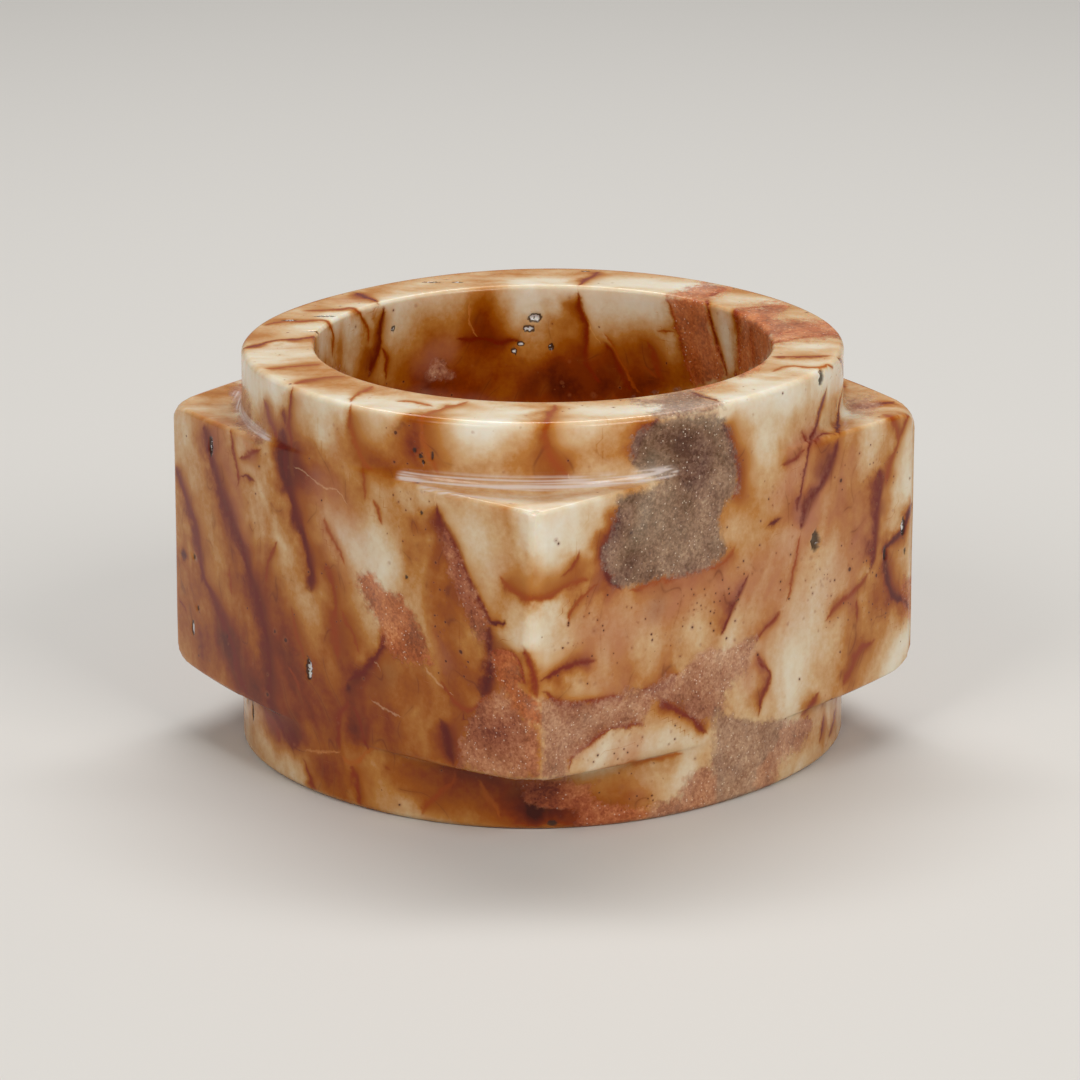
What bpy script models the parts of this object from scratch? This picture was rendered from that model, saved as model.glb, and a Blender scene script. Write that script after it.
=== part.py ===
"""Jade cong: a round tube of jade with a squared block around its middle.

One solid, standing on the flat ring of its foot. Units are metres, +Z is up, and the
bore's axis is the Z axis. The block's four corners point along the diagonals. In the
middle of each side the block's bulging face runs flush into the two round collars.
"""

import collections
import math

import bmesh
import bpy

OBJECT_NAME = "jade_cong"
COLLECTION_NAME = "jade cong"

# Heights, from the foot up
FOOT_COLLAR_HEIGHT = 0.0096
BLOCK_HEIGHT = 0.0355
RIM_COLLAR_HEIGHT = 0.0090

# The upper collar's radius, its wall around the bore, and how far the foot spreads
RIM_RADIUS = 0.0400
RIM_WALL = 0.0096
FOOT_SPREAD = 0.0005

# How far each corner would stand out beyond the rim if it were sharp, and the rounding of
# its upright edge: the left corner, then near, right and far, anticlockwise
CORNER_REACHES = (0.0099, 0.0106, 0.0102, 0.0103)
CORNER_ROUNDINGS = (0.0022, 0.0024, 0.0034, 0.0030)

# The collars were ground by hand: a little longer one way, and a little squared
OVAL_WAVE = 0.0009
OVAL_WIDEST = math.radians(-73.0)
SQUARED_WAVE = 0.0006

# Where a collar meets the flat ledge on a corner, and where the ledge meets the faces
COVE = 0.0013
LEDGE_EDGE = 0.0006
# A ledge narrower than this fades out into a slope of the given height
LEDGE_FADE = 0.0030
FADE_RISE = 0.0026
# A ledge lies this much nearer to its rim where it is narrow than where it is this wide
LEDGE_LIFT = 0.0007
LEDGE_REACH = 0.0100

# Rounding of the two rims
OUTER_RIM_ROUNDING = 0.0009
BORE_RIM_ROUNDING = 0.0006

# Facets: steps from a face's middle to a corner's rounding, over half of that rounding,
# and across each small rounding of the profile
FACE_STEPS = 13
CORNER_STEPS = 4
ROUNDING_STEPS = 3

JADE_COLOUR = (0.62, 0.40, 0.19, 1.0)
JADE_ROUGHNESS = 0.28

SIDES = 4
QUARTER = math.tau / SIDES

FOOT_LEDGE = FOOT_COLLAR_HEIGHT
RIM_LEDGE = FOOT_LEDGE + BLOCK_HEIGHT
HEIGHT = RIM_LEDGE + RIM_COLLAR_HEIGHT
BORE_RADIUS = RIM_RADIUS - RIM_WALL

# A direction from the axis: its turn about the axis, the direction its face looks in, its
# angle away from there, and the number of the corner on its side
Direction = collections.namedtuple("Direction", "turn facing away number")


def smooth(x):
    """Go from 0 to 1 with level ends."""
    x = min(max(x, 0.0), 1.0)
    return x * x * (3.0 - 2.0 * x)


def collar_radius(turn, radius):
    """Radius of a hand-ground collar in the direction turn."""
    oval = OVAL_WAVE * math.cos(2.0 * (turn - OVAL_WIDEST))
    squared = SQUARED_WAVE * math.cos(SIDES * (turn - QUARTER / 2.0))
    return radius + oval + squared


def corner_shape(middle, corner, rounding):
    """Place the arc that rounds an upright edge, seen from above.

    Gives the arc centre's distance from the axis, and the angle from the face's middle
    at which the face ends and the arc begins.
    """
    half = corner / math.sqrt(2.0)
    slope = math.atan(2.0 * (middle - half) / half)
    centre = corner - rounding / math.sin(QUARTER / 2.0 + slope)
    along = centre / math.sqrt(2.0) + rounding * math.sin(slope)
    out = centre / math.sqrt(2.0) + rounding * math.cos(slope)
    return centre, math.atan2(along, out)


def block_radius(away, middle, corner, rounding):
    """Radius of the block at an angle away from the middle of one of its bulging faces."""
    centre, end = corner_shape(middle, corner, rounding)
    if away > end:
        off = QUARTER / 2.0 - away
        sideways = centre * math.sin(off)
        return centre * math.cos(off) + math.sqrt(max(rounding**2 - sideways**2, 0.0))
    half = corner / math.sqrt(2.0)
    bulge = (middle - half) * (math.sin(away) / half) ** 2
    level = math.cos(away)
    return 2.0 * middle / (level + math.sqrt(level**2 + 4.0 * bulge * middle))


def ring_directions():
    """List the directions of one ring, close together on the corners' roundings."""
    directions = []
    for face in range(SIDES):
        facing = (face - 1) * QUARTER
        for side in (-1, 1):
            number = (face + (side > 0)) % SIDES
            middle = collar_radius(facing, RIM_RADIUS)
            corner = RIM_RADIUS + CORNER_REACHES[number]
            _, end = corner_shape(middle, corner, CORNER_ROUNDINGS[number])
            half = [end * i / FACE_STEPS for i in range(FACE_STEPS)]
            rest = QUARTER / 2.0 - end
            half += [end + rest * i / CORNER_STEPS for i in range(CORNER_STEPS + 1)]
            half = half[:0:-1] if side < 0 else half[:-1]
            for away in half:
                turn = facing + side * away
                directions.append(Direction(turn, facing, away, number))
    return directions


def quarter_round(corner_r, corner_z, deep, high, hollow=False):
    """Points (radius, height) across a rounding that is deep by high.

    It runs from short of the corner point, along the height, to short of it along the
    radius. A hollow one bends away from the corner point.
    """
    points = []
    for i in range(ROUNDING_STEPS + 1):
        bend = i / ROUNDING_STEPS * math.pi / 2.0
        across, up = math.cos(bend), math.sin(bend)
        if hollow:
            across, up = 1.0 - up, 1.0 - across
        points.append((corner_r - deep * (1.0 - across), corner_z - high * (1.0 - up)))
    return points


def ledge_profile(collar, block, ledge, rim):
    """Points from the block's face over the ledge at height ledge to the collar's wall."""
    up = math.copysign(1.0, rim - ledge)
    step = max(block - collar, 0.0)
    full = smooth(step / LEDGE_FADE)
    wall_room = abs(rim - ledge) - OUTER_RIM_ROUNDING - LEDGE_LIFT
    cove_high = min(FADE_RISE + (COVE - FADE_RISE) * full, wall_room)
    edge_high = min(FADE_RISE + (LEDGE_EDGE - FADE_RISE) * full, BLOCK_HEIGHT / 2.0)
    cove_deep = min(COVE, 0.5 * step)
    edge_deep = min(LEDGE_EDGE, 0.4 * step)
    level = ledge + up * LEDGE_LIFT * (1.0 - min(step / LEDGE_REACH, 1.0))
    edge = quarter_round(block, level, edge_deep, up * edge_high)
    cove_top = level + up * cove_high
    cove = quarter_round(collar + cove_deep, cove_top, cove_deep, up * cove_high, hollow=True)
    return edge + cove


def outer_profile(direction, radius, ledge, rim):
    """Points from the middle of the block out over one ledge and collar to its rim."""
    corner = RIM_RADIUS + CORNER_REACHES[direction.number]
    rounding = CORNER_ROUNDINGS[direction.number]
    collar = collar_radius(direction.turn, radius)
    middle = collar_radius(direction.facing, radius)
    block = max(block_radius(direction.away, middle, corner, rounding), collar)
    up = math.copysign(1.0, rim - ledge)
    points = ledge_profile(collar, block, ledge, rim)
    return points + quarter_round(collar, rim, OUTER_RIM_ROUNDING, up * OUTER_RIM_ROUNDING)


def profile(direction):
    """The whole closed profile (radius, height) in one direction, outside then bore."""
    foot = outer_profile(direction, RIM_RADIUS + FOOT_SPREAD, FOOT_LEDGE, 0.0)
    top = outer_profile(direction, RIM_RADIUS, RIM_LEDGE, HEIGHT)
    rounding = BORE_RIM_ROUNDING
    bore_top = quarter_round(BORE_RADIUS, HEIGHT, -rounding, rounding)
    bore_foot = quarter_round(BORE_RADIUS, 0.0, -rounding, -rounding)
    return foot[::-1] + top + bore_top[::-1] + bore_foot


def loft(name):
    """Join the profiles in every direction into one closed mesh."""
    mesh = bpy.data.meshes.new(name)
    shape = bmesh.new()
    rows = []
    for direction in ring_directions():
        east, north = math.cos(direction.turn), math.sin(direction.turn)
        points = profile(direction)
        rows.append([shape.verts.new((r * east, r * north, z)) for r, z in points])
    for row, following in zip(rows, rows[1:] + rows[:1]):
        for i, vert in enumerate(row):
            j = (i + 1) % len(row)
            shape.faces.new((vert, following[i], following[j], row[j]))
    bmesh.ops.recalc_face_normals(shape, faces=shape.faces)
    shape.to_mesh(mesh)
    shape.free()
    return mesh


def jade_material():
    material = bpy.data.materials.new("jade")
    material.use_nodes = True
    shader = material.node_tree.nodes["Principled BSDF"]
    shader.inputs["Base Color"].default_value = JADE_COLOUR
    shader.inputs["Roughness"].default_value = JADE_ROUGHNESS
    shader.inputs["Metallic"].default_value = 0.0
    material.diffuse_color = JADE_COLOUR
    return material


def build():
    for old in list(bpy.data.objects):
        bpy.data.objects.remove(old, do_unlink=True)
    collection = bpy.data.collections.new(COLLECTION_NAME)
    bpy.context.scene.collection.children.link(collection)

    mesh = loft(OBJECT_NAME)
    mesh.materials.append(jade_material())
    mesh.shade_smooth()
    mesh.set_sharp_from_angle(angle=math.radians(35.0))
    collection.objects.link(bpy.data.objects.new(OBJECT_NAME, mesh))


build()
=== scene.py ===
# %% [markdown]
# # A jade cong
# A cong is a tube of jade with a squared block around its middle. This one is a single
# carved and polished stone, so the whole scene is one mesh and one material. The mesh has
# to be fine enough for the worn tips, the pits and the hand-ground faces, and the
# material has to carry the veins that iron has stained into the stone.
#
# The imported CAD model comes first. It fixes the size and the place of the stone, and it
# stays in the scene, hidden.

import collections
import math

import bmesh
import bpy
import numpy as np
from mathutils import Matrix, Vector, noise
from mathutils.bvhtree import BVHTree


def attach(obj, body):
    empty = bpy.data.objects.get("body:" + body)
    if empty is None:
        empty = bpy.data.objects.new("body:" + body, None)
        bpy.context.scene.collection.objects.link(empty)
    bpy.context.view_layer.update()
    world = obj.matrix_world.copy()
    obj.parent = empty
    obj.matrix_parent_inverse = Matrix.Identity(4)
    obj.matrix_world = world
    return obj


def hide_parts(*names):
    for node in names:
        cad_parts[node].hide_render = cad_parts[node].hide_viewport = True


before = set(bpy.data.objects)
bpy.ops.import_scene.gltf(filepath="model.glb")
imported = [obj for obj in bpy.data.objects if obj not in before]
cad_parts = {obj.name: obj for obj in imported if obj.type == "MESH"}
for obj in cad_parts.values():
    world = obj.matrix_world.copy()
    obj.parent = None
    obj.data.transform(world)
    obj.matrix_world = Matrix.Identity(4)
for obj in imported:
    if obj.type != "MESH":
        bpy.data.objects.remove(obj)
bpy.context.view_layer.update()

# %% [markdown]
# ## The hand-ground section
# Seen from above, the collars are nearly round and the block is a square with bulging
# sides. A lathe shape alone would miss that, and a square one would miss the collars. So
# the stone is described by its section in one direction from the axis: a closed line of
# points, each with a radius and a height. The same line is then worked out for every
# direction. The sizes are those of the CAD model.

# %% Sizes of the stone, in metres
FOOT_LEDGE = 0.0096
RIM_LEDGE = 0.0451
HEIGHT = 0.0541
RIM_RADIUS = 0.0400
FOOT_SPREAD = 0.0005
BORE_RADIUS = 0.0304
CORNER_REACHES = (0.0099, 0.0106, 0.0102, 0.0103)
CORNER_ROUNDINGS = (0.0022, 0.0024, 0.0034, 0.0030)
OVAL_WAVE = 0.0009
OVAL_WIDEST = math.radians(-73.0)
SQUARED_WAVE = 0.0006
COVE = 0.0013
LEDGE_EDGE = 0.0006
LEDGE_FADE = 0.0030
FADE_RISE = 0.0026
LEDGE_LIFT = 0.0007
LEDGE_REACH = 0.0100
OUTER_RIM_ROUNDING = 0.0009
BORE_RIM_ROUNDING = 0.0006
SIDES = 4
QUARTER = math.tau / SIDES
MM = 0.001

Direction = collections.namedtuple("Direction", "turn facing away number")


# %% The outline seen from above
def smooth(x):
    """Go from 0 to 1 with level ends."""
    x = min(max(x, 0.0), 1.0)
    return x * x * (3.0 - 2.0 * x)


def collar_radius(turn, radius):
    """Radius of a hand-ground collar in the direction turn."""
    oval = OVAL_WAVE * math.cos(2.0 * (turn - OVAL_WIDEST))
    squared = SQUARED_WAVE * math.cos(SIDES * (turn - QUARTER / 2.0))
    return radius + oval + squared


def corner_shape(middle, corner, rounding):
    """Distance of an upright edge's arc from the axis, and where the face meets it."""
    half = corner / math.sqrt(2.0)
    slope = math.atan(2.0 * (middle - half) / half)
    centre = corner - rounding / math.sin(QUARTER / 2.0 + slope)
    along = centre / math.sqrt(2.0) + rounding * math.sin(slope)
    out = centre / math.sqrt(2.0) + rounding * math.cos(slope)
    return centre, math.atan2(along, out)


def block_radius(away, middle, corner, rounding):
    """Radius of the block at an angle away from the middle of a bulging face."""
    centre, end = corner_shape(middle, corner, rounding)
    if away > end:
        off = QUARTER / 2.0 - away
        sideways = centre * math.sin(off)
        return centre * math.cos(off) + math.sqrt(max(rounding**2 - sideways**2, 0.0))
    half = corner / math.sqrt(2.0)
    bulge = (middle - half) * (math.sin(away) / half) ** 2
    level = math.cos(away)
    return 2.0 * middle / (level + math.sqrt(level**2 + 4.0 * bulge * middle))


# %% The directions, closer together on the rounded corners
FACE_STEPS = 43
CORNER_STEPS = 6


def ring_directions():
    """List the directions of one ring, from the left corner anticlockwise."""
    directions = []
    for face in range(SIDES):
        facing = (face - 1) * QUARTER
        for side in (-1, 1):
            number = (face + (side > 0)) % SIDES
            middle = collar_radius(facing, RIM_RADIUS)
            corner = RIM_RADIUS + CORNER_REACHES[number]
            _, end = corner_shape(middle, corner, CORNER_ROUNDINGS[number])
            half = [end * i / FACE_STEPS for i in range(FACE_STEPS)]
            rest = QUARTER / 2.0 - end
            half += [end + rest * i / CORNER_STEPS for i in range(CORNER_STEPS + 1)]
            half = half[:0:-1] if side < 0 else half[:-1]
            for away in half:
                directions.append(Direction(facing + side * away, facing, away, number))
    return directions


directions = ring_directions()
print("directions around the axis:", len(directions))

# %% [markdown]
# ## One section, point by point
# Each rounding and each flat stretch of the section gets its own number of points, and
# every direction gets the same number. That matters, because the points of neighbouring
# directions are joined into faces. Where a ledge fades out in the middle of a side, its
# points would bunch together, so there they are spread evenly along their own line.

# %% The points of one section
ROUNDING_STEPS = 5
LEDGE_STEPS = 12
WALL_STEPS = 9
SIDE_STEPS = 52
RIM_STEPS = 13
BORE_STEPS = 54


def quarter_round(corner_r, corner_z, deep, high, hollow=False):
    """Points (radius, height) across a rounding that is deep by high."""
    points = []
    for i in range(ROUNDING_STEPS + 1):
        bend = i / ROUNDING_STEPS * math.pi / 2.0
        across, up = math.cos(bend), math.sin(bend)
        if hollow:
            across, up = 1.0 - up, 1.0 - across
        points.append((corner_r - deep * (1.0 - across), corner_z - high * (1.0 - up)))
    return points


def fill(start, end, steps):
    """Points evenly between two points, without the two."""
    shares = [i / steps for i in range(1, steps)]
    return [tuple(a + (b - a) * share for a, b in zip(start, end)) for share in shares]


def spread(points, even):
    """Slide points along their own line, from where they are (0) to evenly spaced (1)."""
    r, z = np.array(points).T
    walked = np.concatenate(([0.0], np.cumsum(np.hypot(np.diff(r), np.diff(z)))))
    places = walked * (1.0 - even) + np.linspace(0.0, walked[-1], len(r)) * even
    return list(zip(np.interp(places, walked, r), np.interp(places, walked, z)))


def ledge_line(collar, block, ledge, rim):
    """Points from the block's face over a ledge to the collar's wall."""
    up = math.copysign(1.0, rim - ledge)
    step = max(block - collar, 0.0)
    full = smooth(step / LEDGE_FADE)
    cove_high = FADE_RISE + (COVE - FADE_RISE) * full
    edge_high = FADE_RISE + (LEDGE_EDGE - FADE_RISE) * full
    cove_deep = min(COVE, 0.5 * step)
    edge_deep = min(LEDGE_EDGE, 0.4 * step)
    level = ledge + up * LEDGE_LIFT * (1.0 - min(step / LEDGE_REACH, 1.0))
    edge = quarter_round(block, level, edge_deep, up * edge_high)
    cove_top = level + up * cove_high
    cove = quarter_round(collar + cove_deep, cove_top, cove_deep, up * cove_high, hollow=True)
    return spread(edge + fill(edge[-1], cove[0], LEDGE_STEPS) + cove, 1.0 - full)


def outer_line(direction, radius, ledge, rim):
    """Points from the block out over one ledge and up its collar to the rim."""
    corner = RIM_RADIUS + CORNER_REACHES[direction.number]
    rounding = CORNER_ROUNDINGS[direction.number]
    collar = collar_radius(direction.turn, radius)
    middle = collar_radius(direction.facing, radius)
    block = max(block_radius(direction.away, middle, corner, rounding), collar)
    up = math.copysign(1.0, rim - ledge)
    ledge_points = ledge_line(collar, block, ledge, rim)
    lip = quarter_round(collar, rim, OUTER_RIM_ROUNDING, up * OUTER_RIM_ROUNDING)
    return ledge_points + fill(ledge_points[-1], lip[0], WALL_STEPS) + lip


def section(direction):
    """The closed section (radius, height) in one direction: outside, rim, bore, foot."""
    foot = outer_line(direction, RIM_RADIUS + FOOT_SPREAD, FOOT_LEDGE, 0.0)
    top = outer_line(direction, RIM_RADIUS, RIM_LEDGE, HEIGHT)
    rounding = BORE_RIM_ROUNDING
    bore_top = quarter_round(BORE_RADIUS, HEIGHT, -rounding, rounding)[::-1]
    bore_foot = quarter_round(BORE_RADIUS, 0.0, -rounding, -rounding)
    line = foot[::-1] + fill(foot[0], top[0], SIDE_STEPS) + top
    line += fill(top[-1], bore_top[0], RIM_STEPS) + bore_top
    line += fill(bore_top[-1], bore_foot[0], BORE_STEPS) + bore_foot
    return line + fill(bore_foot[-1], foot[-1], RIM_STEPS)


sections = np.array([section(direction) for direction in directions])
print("points in one section:", sections.shape[1])

# %% [markdown]
# ## Turning the stone
# The first section is drawn once and turned about the axis with the spin operator, which
# makes all the faces. Every vertex keeps the number of its point on the section. With it,
# each vertex of the turned shape is pressed to the section of its own direction, and the
# lathe shape becomes the squared one. The spin can leave the surface inside out, so its
# normals are worked out again.

# %% Spin the section, then press it to the hand-ground form
stone = bmesh.new()
point_number = stone.verts.layers.int.new("point_number")
line = []
for i, (radius, height) in enumerate(sections[0]):
    vert = stone.verts.new((radius, 0.0, height))
    vert[point_number] = i
    line.append(vert)
wires = [stone.edges.new(pair) for pair in zip(line, line[1:] + line[:1])]
bmesh.ops.spin(
    stone,
    geom=line + wires,
    cent=(0.0, 0.0, 0.0),
    axis=(0.0, 0.0, 1.0),
    angle=math.tau,
    steps=len(directions),
    use_merge=True,
)
for vert in stone.verts:
    turned = math.atan2(vert.co.y, vert.co.x) / math.tau * len(directions)
    k = round(turned) % len(directions)
    radius, height = sections[k][vert[point_number]]
    turn = directions[k].turn
    vert.co = (radius * math.cos(turn), radius * math.sin(turn), height)
bmesh.ops.recalc_face_normals(stone, faces=stone.faces)
print("turned and pressed:", len(stone.verts), "vertices,", len(stone.faces), "faces")

# %% [markdown]
# ## The camera, before the wear
# Wear, pits and veins are placed where the photograph shows them, so the camera comes
# now. Its place was found by matching the rims, the ledges and the corners. A pixel of
# the photograph is then a ray from the camera, and where the ray meets the stone is the
# place of the feature on its surface.

# %% Camera and its rays
PHOTO_SIDE = 1080
PHOTO_MIDDLE = PHOTO_SIDE / 2.0
SENSOR = 36.0
LENS = 174.04
CAMERA_AZIMUTH = math.radians(46.66)
CAMERA_ELEVATION = math.radians(16.82)
CAMERA_DISTANCE = 0.7028
CAMERA_LEFT = 0.0004
CAMERA_DOWN = 0.0006

east, north = math.sin(CAMERA_AZIMUTH), -math.cos(CAMERA_AZIMUTH)
level, rise = math.cos(CAMERA_ELEVATION), math.sin(CAMERA_ELEVATION)
back = Vector((east * level, north * level, rise))
right = Vector((-north, east, 0.0))
up = back.cross(right)
middle_of_stone = Vector((0.0, 0.0, HEIGHT / 2.0))
eye = middle_of_stone + CAMERA_DISTANCE * back - CAMERA_LEFT * right - CAMERA_DOWN * up
PIXELS_PER_RADIAN = LENS / SENSOR * PHOTO_SIDE


def ray(x, y):
    """The direction from the camera through a pixel of the photograph."""
    aside = float(x - PHOTO_MIDDLE) * right + float(PHOTO_MIDDLE - y) * up
    return (aside - PIXELS_PER_RADIAN * back).normalized()


def touch(x, y, surface):
    """Where the stone shows at a pixel, or None beside it."""
    return surface.ray_cast(eye, ray(x, y))[0]


surface = BVHTree.FromBMesh(stone)
NEAR_TIP = (536, 512)
print("near tip at", touch(*NEAR_TIP, surface))

# %% [markdown]
# ## Wear
# Thousands of years have rounded the corner tips, and the hand that ground the faces
# left them slightly uneven. Seen from the side, each tip is a right angle between the
# upright edge and the ledge. It is replaced by an arc with a radius of its own, and the
# smoothing operator blends the arc into the stone. The unevenness is a slow noise that
# only ever takes stone away, so the piece stays inside its box.

# %% Worn tips and uneven faces
TIP_ARCS = {  # corner number, upper or lower end, radius of the worn arc in mm
    "left_top": (0, RIM_LEDGE, 1.8), "left_foot": (0, FOOT_LEDGE, 1.8),
    "near_top": (1, RIM_LEDGE, 0.8), "near_foot": (1, FOOT_LEDGE, 1.0),
    "right_top": (2, RIM_LEDGE, 2.3), "right_foot": (2, FOOT_LEDGE, 2.5),
    "far_top": (3, RIM_LEDGE, 2.2), "far_foot": (3, FOOT_LEDGE, 2.2),
}
SMOOTHING_ROUNDS = 2


def wear_tip(number, ledge, arc):
    """Bring one corner tip back to an arc and smooth what is left."""
    turn = (number - 1.5) * QUARTER
    middle = collar_radius((number - 1.0) * QUARTER, RIM_RADIUS)
    rounding = CORNER_ROUNDINGS[number]
    reach = corner_shape(middle, RIM_RADIUS + CORNER_REACHES[number], rounding)[0] + rounding
    outwards = Vector((math.cos(turn), math.sin(turn), 0.0))
    outer_way = math.copysign(1.0, ledge - HEIGHT / 2.0)
    arc *= MM
    around = []
    for vert in stone.verts:
        out = vert.co.dot(outwards) - (reach - arc)
        rise = outer_way * (vert.co.z - ledge) + arc
        away = math.hypot(out, rise)
        if out > 0.0 and rise > 0.0 and away > arc:
            vert.co -= outwards * out * (1.0 - arc / away)
            vert.co.z -= outer_way * rise * (1.0 - arc / away)
            around.append(vert)
    for _ in range(SMOOTHING_ROUNDS):
        bmesh.ops.smooth_vert(
            stone, verts=around, factor=0.5, use_axis_x=True, use_axis_y=True, use_axis_z=True
        )
    return len(around)


for name, (number, ledge, arc) in TIP_ARCS.items():
    print("worn", name, wear_tip(number, ledge, arc), "vertices")

UNEVEN_DEPTH = 0.00012
UNEVEN_SIZE = 0.011
LEVEL_NORMAL = 0.9
# The near corner's upright edge leans to the right in its upper half
LEAN = 0.0007
LEAN_REACH = 0.016
LEAN_ENDS = RIM_LEDGE + 0.5 * MM
LEAN_FADE = 1.5 * MM
stone.normal_update()
near_way = Vector((math.cos(-QUARTER / 2.0), math.sin(-QUARTER / 2.0), 0.0))
near_corner = near_way * (RIM_RADIUS + CORNER_REACHES[1])
for vert in stone.verts:
    if abs(vert.normal.z) <= LEVEL_NORMAL:
        hollow = 0.5 + 0.5 * noise.noise(vert.co / UNEVEN_SIZE)
        vert.co -= vert.normal * UNEVEN_DEPTH * hollow
    from_corner = (vert.co - near_corner).xy.length
    risen = smooth((vert.co.z - HEIGHT / 2.0) / (RIM_LEDGE - HEIGHT / 2.0))
    on_block = 1.0 - smooth((vert.co.z - LEAN_ENDS) / LEAN_FADE)
    vert.co += right * LEAN * smooth(1.0 - from_corner / LEAN_REACH) * risen * on_block
surface = BVHTree.FromBMesh(stone)
print("faces made uneven by up to", 1000.0 * UNEVEN_DEPTH, "mm")

# %% [markdown]
# ## Pits
# Small cavities are left where grains of iron and mica fell out of the polished surface.
# They catch the light, so they are real dents. The faces around each one are divided
# first, because a dent needs more vertices than the plain surface has.

# %% Dents at the pixels where the photograph shows them
# What lines a pit: 0 is bare stone, 0.5 dark and 1 silvery mica with a painted glint
BARE, DARK, SILVER_GLINT = 0.0, 0.5, 1.0
PIT_MARGIN = 0.5
PIT_EDGE = 1.35
LINING_EDGE = 1.5
PIT_RAGGED = 0.45
PIT_RAGGED_SIZE = 0.4 * MM
PITS = {  # pixel, half-length, half-width and depth in mm, direction of length, what lines it
    "rim_long": (431, 282, 1.0, 0.28, 0.3, "across", SILVER_GLINT),
    "rim_short": (457, 282, 0.6, 0.25, 0.25, "across", SILVER_GLINT),
    "rim_grain": (446, 279, 0.4, 0.2, 0.2, "across", DARK),
    "rim_left_a": (290, 320, 0.8, 0.3, 0.3, "across", SILVER_GLINT),
    "rim_left_b": (325, 316, 1.1, 0.3, 0.3, "across", SILVER_GLINT),
    "rim_left_c": (315, 331, 0.9, 0.3, 0.3, "across", DARK),
    "rim_back_dot": (586, 271, 0.5, 0.25, 0.2, "across", SILVER_GLINT),
    "bore_upper": (535, 318, 0.8, 0.5, 0.5, "across", SILVER_GLINT),
    "bore_middle": (529, 328, 0.7, 0.4, 0.45, "across", SILVER_GLINT),
    "bore_lower": (521, 344, 0.45, 0.3, 0.3, "across", SILVER_GLINT),
    "bore_low_left": (514, 351, 0.35, 0.3, 0.3, "across", SILVER_GLINT),
    "bore_low_right": (551, 347, 0.4, 0.35, 0.35, "across", SILVER_GLINT),
    "bore_left_dot": (393, 329, 0.3, 0.3, 0.2, "across", SILVER_GLINT),
    "face_upper_left": (211, 446, 1.1, 0.42, 0.4, "down", SILVER_GLINT),
    "face_low": (309, 669, 1.3, 0.5, 0.45, "down", SILVER_GLINT),
    "face_far_left": (193, 628, 0.9, 0.25, 0.25, "down", SILVER_GLINT),
    "face_dot_a": (194, 557, 0.4, 0.3, 0.25, "down", DARK),
    "face_dot_b": (198, 608, 0.35, 0.3, 0.25, "down", DARK),
    "foot_left": (253, 712, 1.2, 0.3, 0.35, "down", SILVER_GLINT),
    "foot_left_b": (248, 701, 0.5, 0.25, 0.25, "down", DARK),
    "triangle": (816, 541, 1.3, 0.85, 0.6, "down", DARK),
    "right_slot": (903, 527, 1.1, 0.35, 0.4, "down", SILVER_GLINT),
    "right_slot_b": (905, 551, 0.5, 0.25, 0.25, "down", DARK),
    "right_dark": (885, 554, 1.0, 0.3, 0.3, "down", DARK),
    "collar_chip": (822, 377, 0.9, 0.7, 0.45, "down", DARK),
    "collar_nick": (837, 405, 0.4, 0.3, 0.3, "down", DARK),
    "collar_dark_a": (414, 450, 0.35, 0.25, 0.25, "down", DARK),
    "collar_dark_b": (420, 456, 0.35, 0.25, 0.25, "down", DARK),
    "collar_dark_c": (423, 462, 0.3, 0.2, 0.2, "down", DARK),
    "collar_dark_d": (432, 456, 0.6, 0.2, 0.25, "down", DARK),
    "face_black_a": (421, 513, 0.3, 0.25, 0.25, "down", DARK),
    "face_black_b": (406, 577, 0.3, 0.25, 0.25, "down", DARK),
    "foot_dark_spot": (552, 824, 0.7, 0.4, 0.25, "across", DARK),
    "near_tip_nick": (535, 513, 0.5, 0.3, 0.25, "across", BARE),
}
pit_lining = stone.verts.layers.float.new("pit_lining")


def dig(x, y, length, width, depth, lies, lining):
    """Divide the faces around a place and press a dent into them."""
    place = touch(x, y, surface)
    if place is None:
        return 0
    reach = (length + PIT_MARGIN) * MM
    faces = [f for f in stone.faces if (f.calc_center_median() - place).length < reach]
    edges = list({edge for face in faces for edge in face.edges})
    bmesh.ops.subdivide_edges(stone, edges=edges, cuts=2, use_grid_fill=True)
    stone.normal_update()
    inside = [v for v in stone.verts if (v.co - place).length < reach]
    normal = sum((v.normal for v in inside), Vector()).normalized()
    sideways = right - normal * right.dot(normal)
    upwards = normal.cross(sideways)
    long_way, short_way = (sideways, upwards) if lies == "across" else (upwards, sideways)
    long_way, short_way = long_way.normalized(), short_way.normalized()
    for vert in inside:
        away = (vert.co - place) / MM
        ragged = 1.0 + PIT_RAGGED * noise.noise(vert.co / PIT_RAGGED_SIZE)
        off = math.hypot(away.dot(long_way) / length, away.dot(short_way) / width) * ragged
        vert.co -= normal * depth * MM * smooth(PIT_EDGE - off)
        lined = lining * min(max(LINING_EDGE - off, 0.0), 1.0)
        vert[pit_lining] = max(vert[pit_lining], lined)
    return len(inside)


for name, pit in PITS.items():
    if not dig(*pit):
        print("missed pit", name)
bmesh.ops.recalc_face_normals(stone, faces=stone.faces)
loose = [edge for edge in stone.edges if len(edge.link_faces) != 2]
triangles = sum(len(face.verts) - 2 for face in stone.faces)
print("after the pits:", triangles, "triangles,", len(loose), "open edges")

# %% The finished mesh
mesh = bpy.data.meshes.new("jade_stone")
stone.to_mesh(mesh)
surface = BVHTree.FromBMesh(stone)
stone.free()
mesh.attributes.remove(mesh.attributes["point_number"])
mesh.shade_smooth()
jade_stone = bpy.data.objects.new("jade_stone", mesh)
bpy.context.scene.collection.objects.link(jade_stone)
places = np.empty(3 * len(mesh.vertices))
mesh.vertices.foreach_get("co", places)
places = places.reshape(-1, 3)
normals = np.empty(3 * len(mesh.vertices))
mesh.vertex_normals.foreach_get("vector", normals)
normals = normals.reshape(-1, 3)

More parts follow.
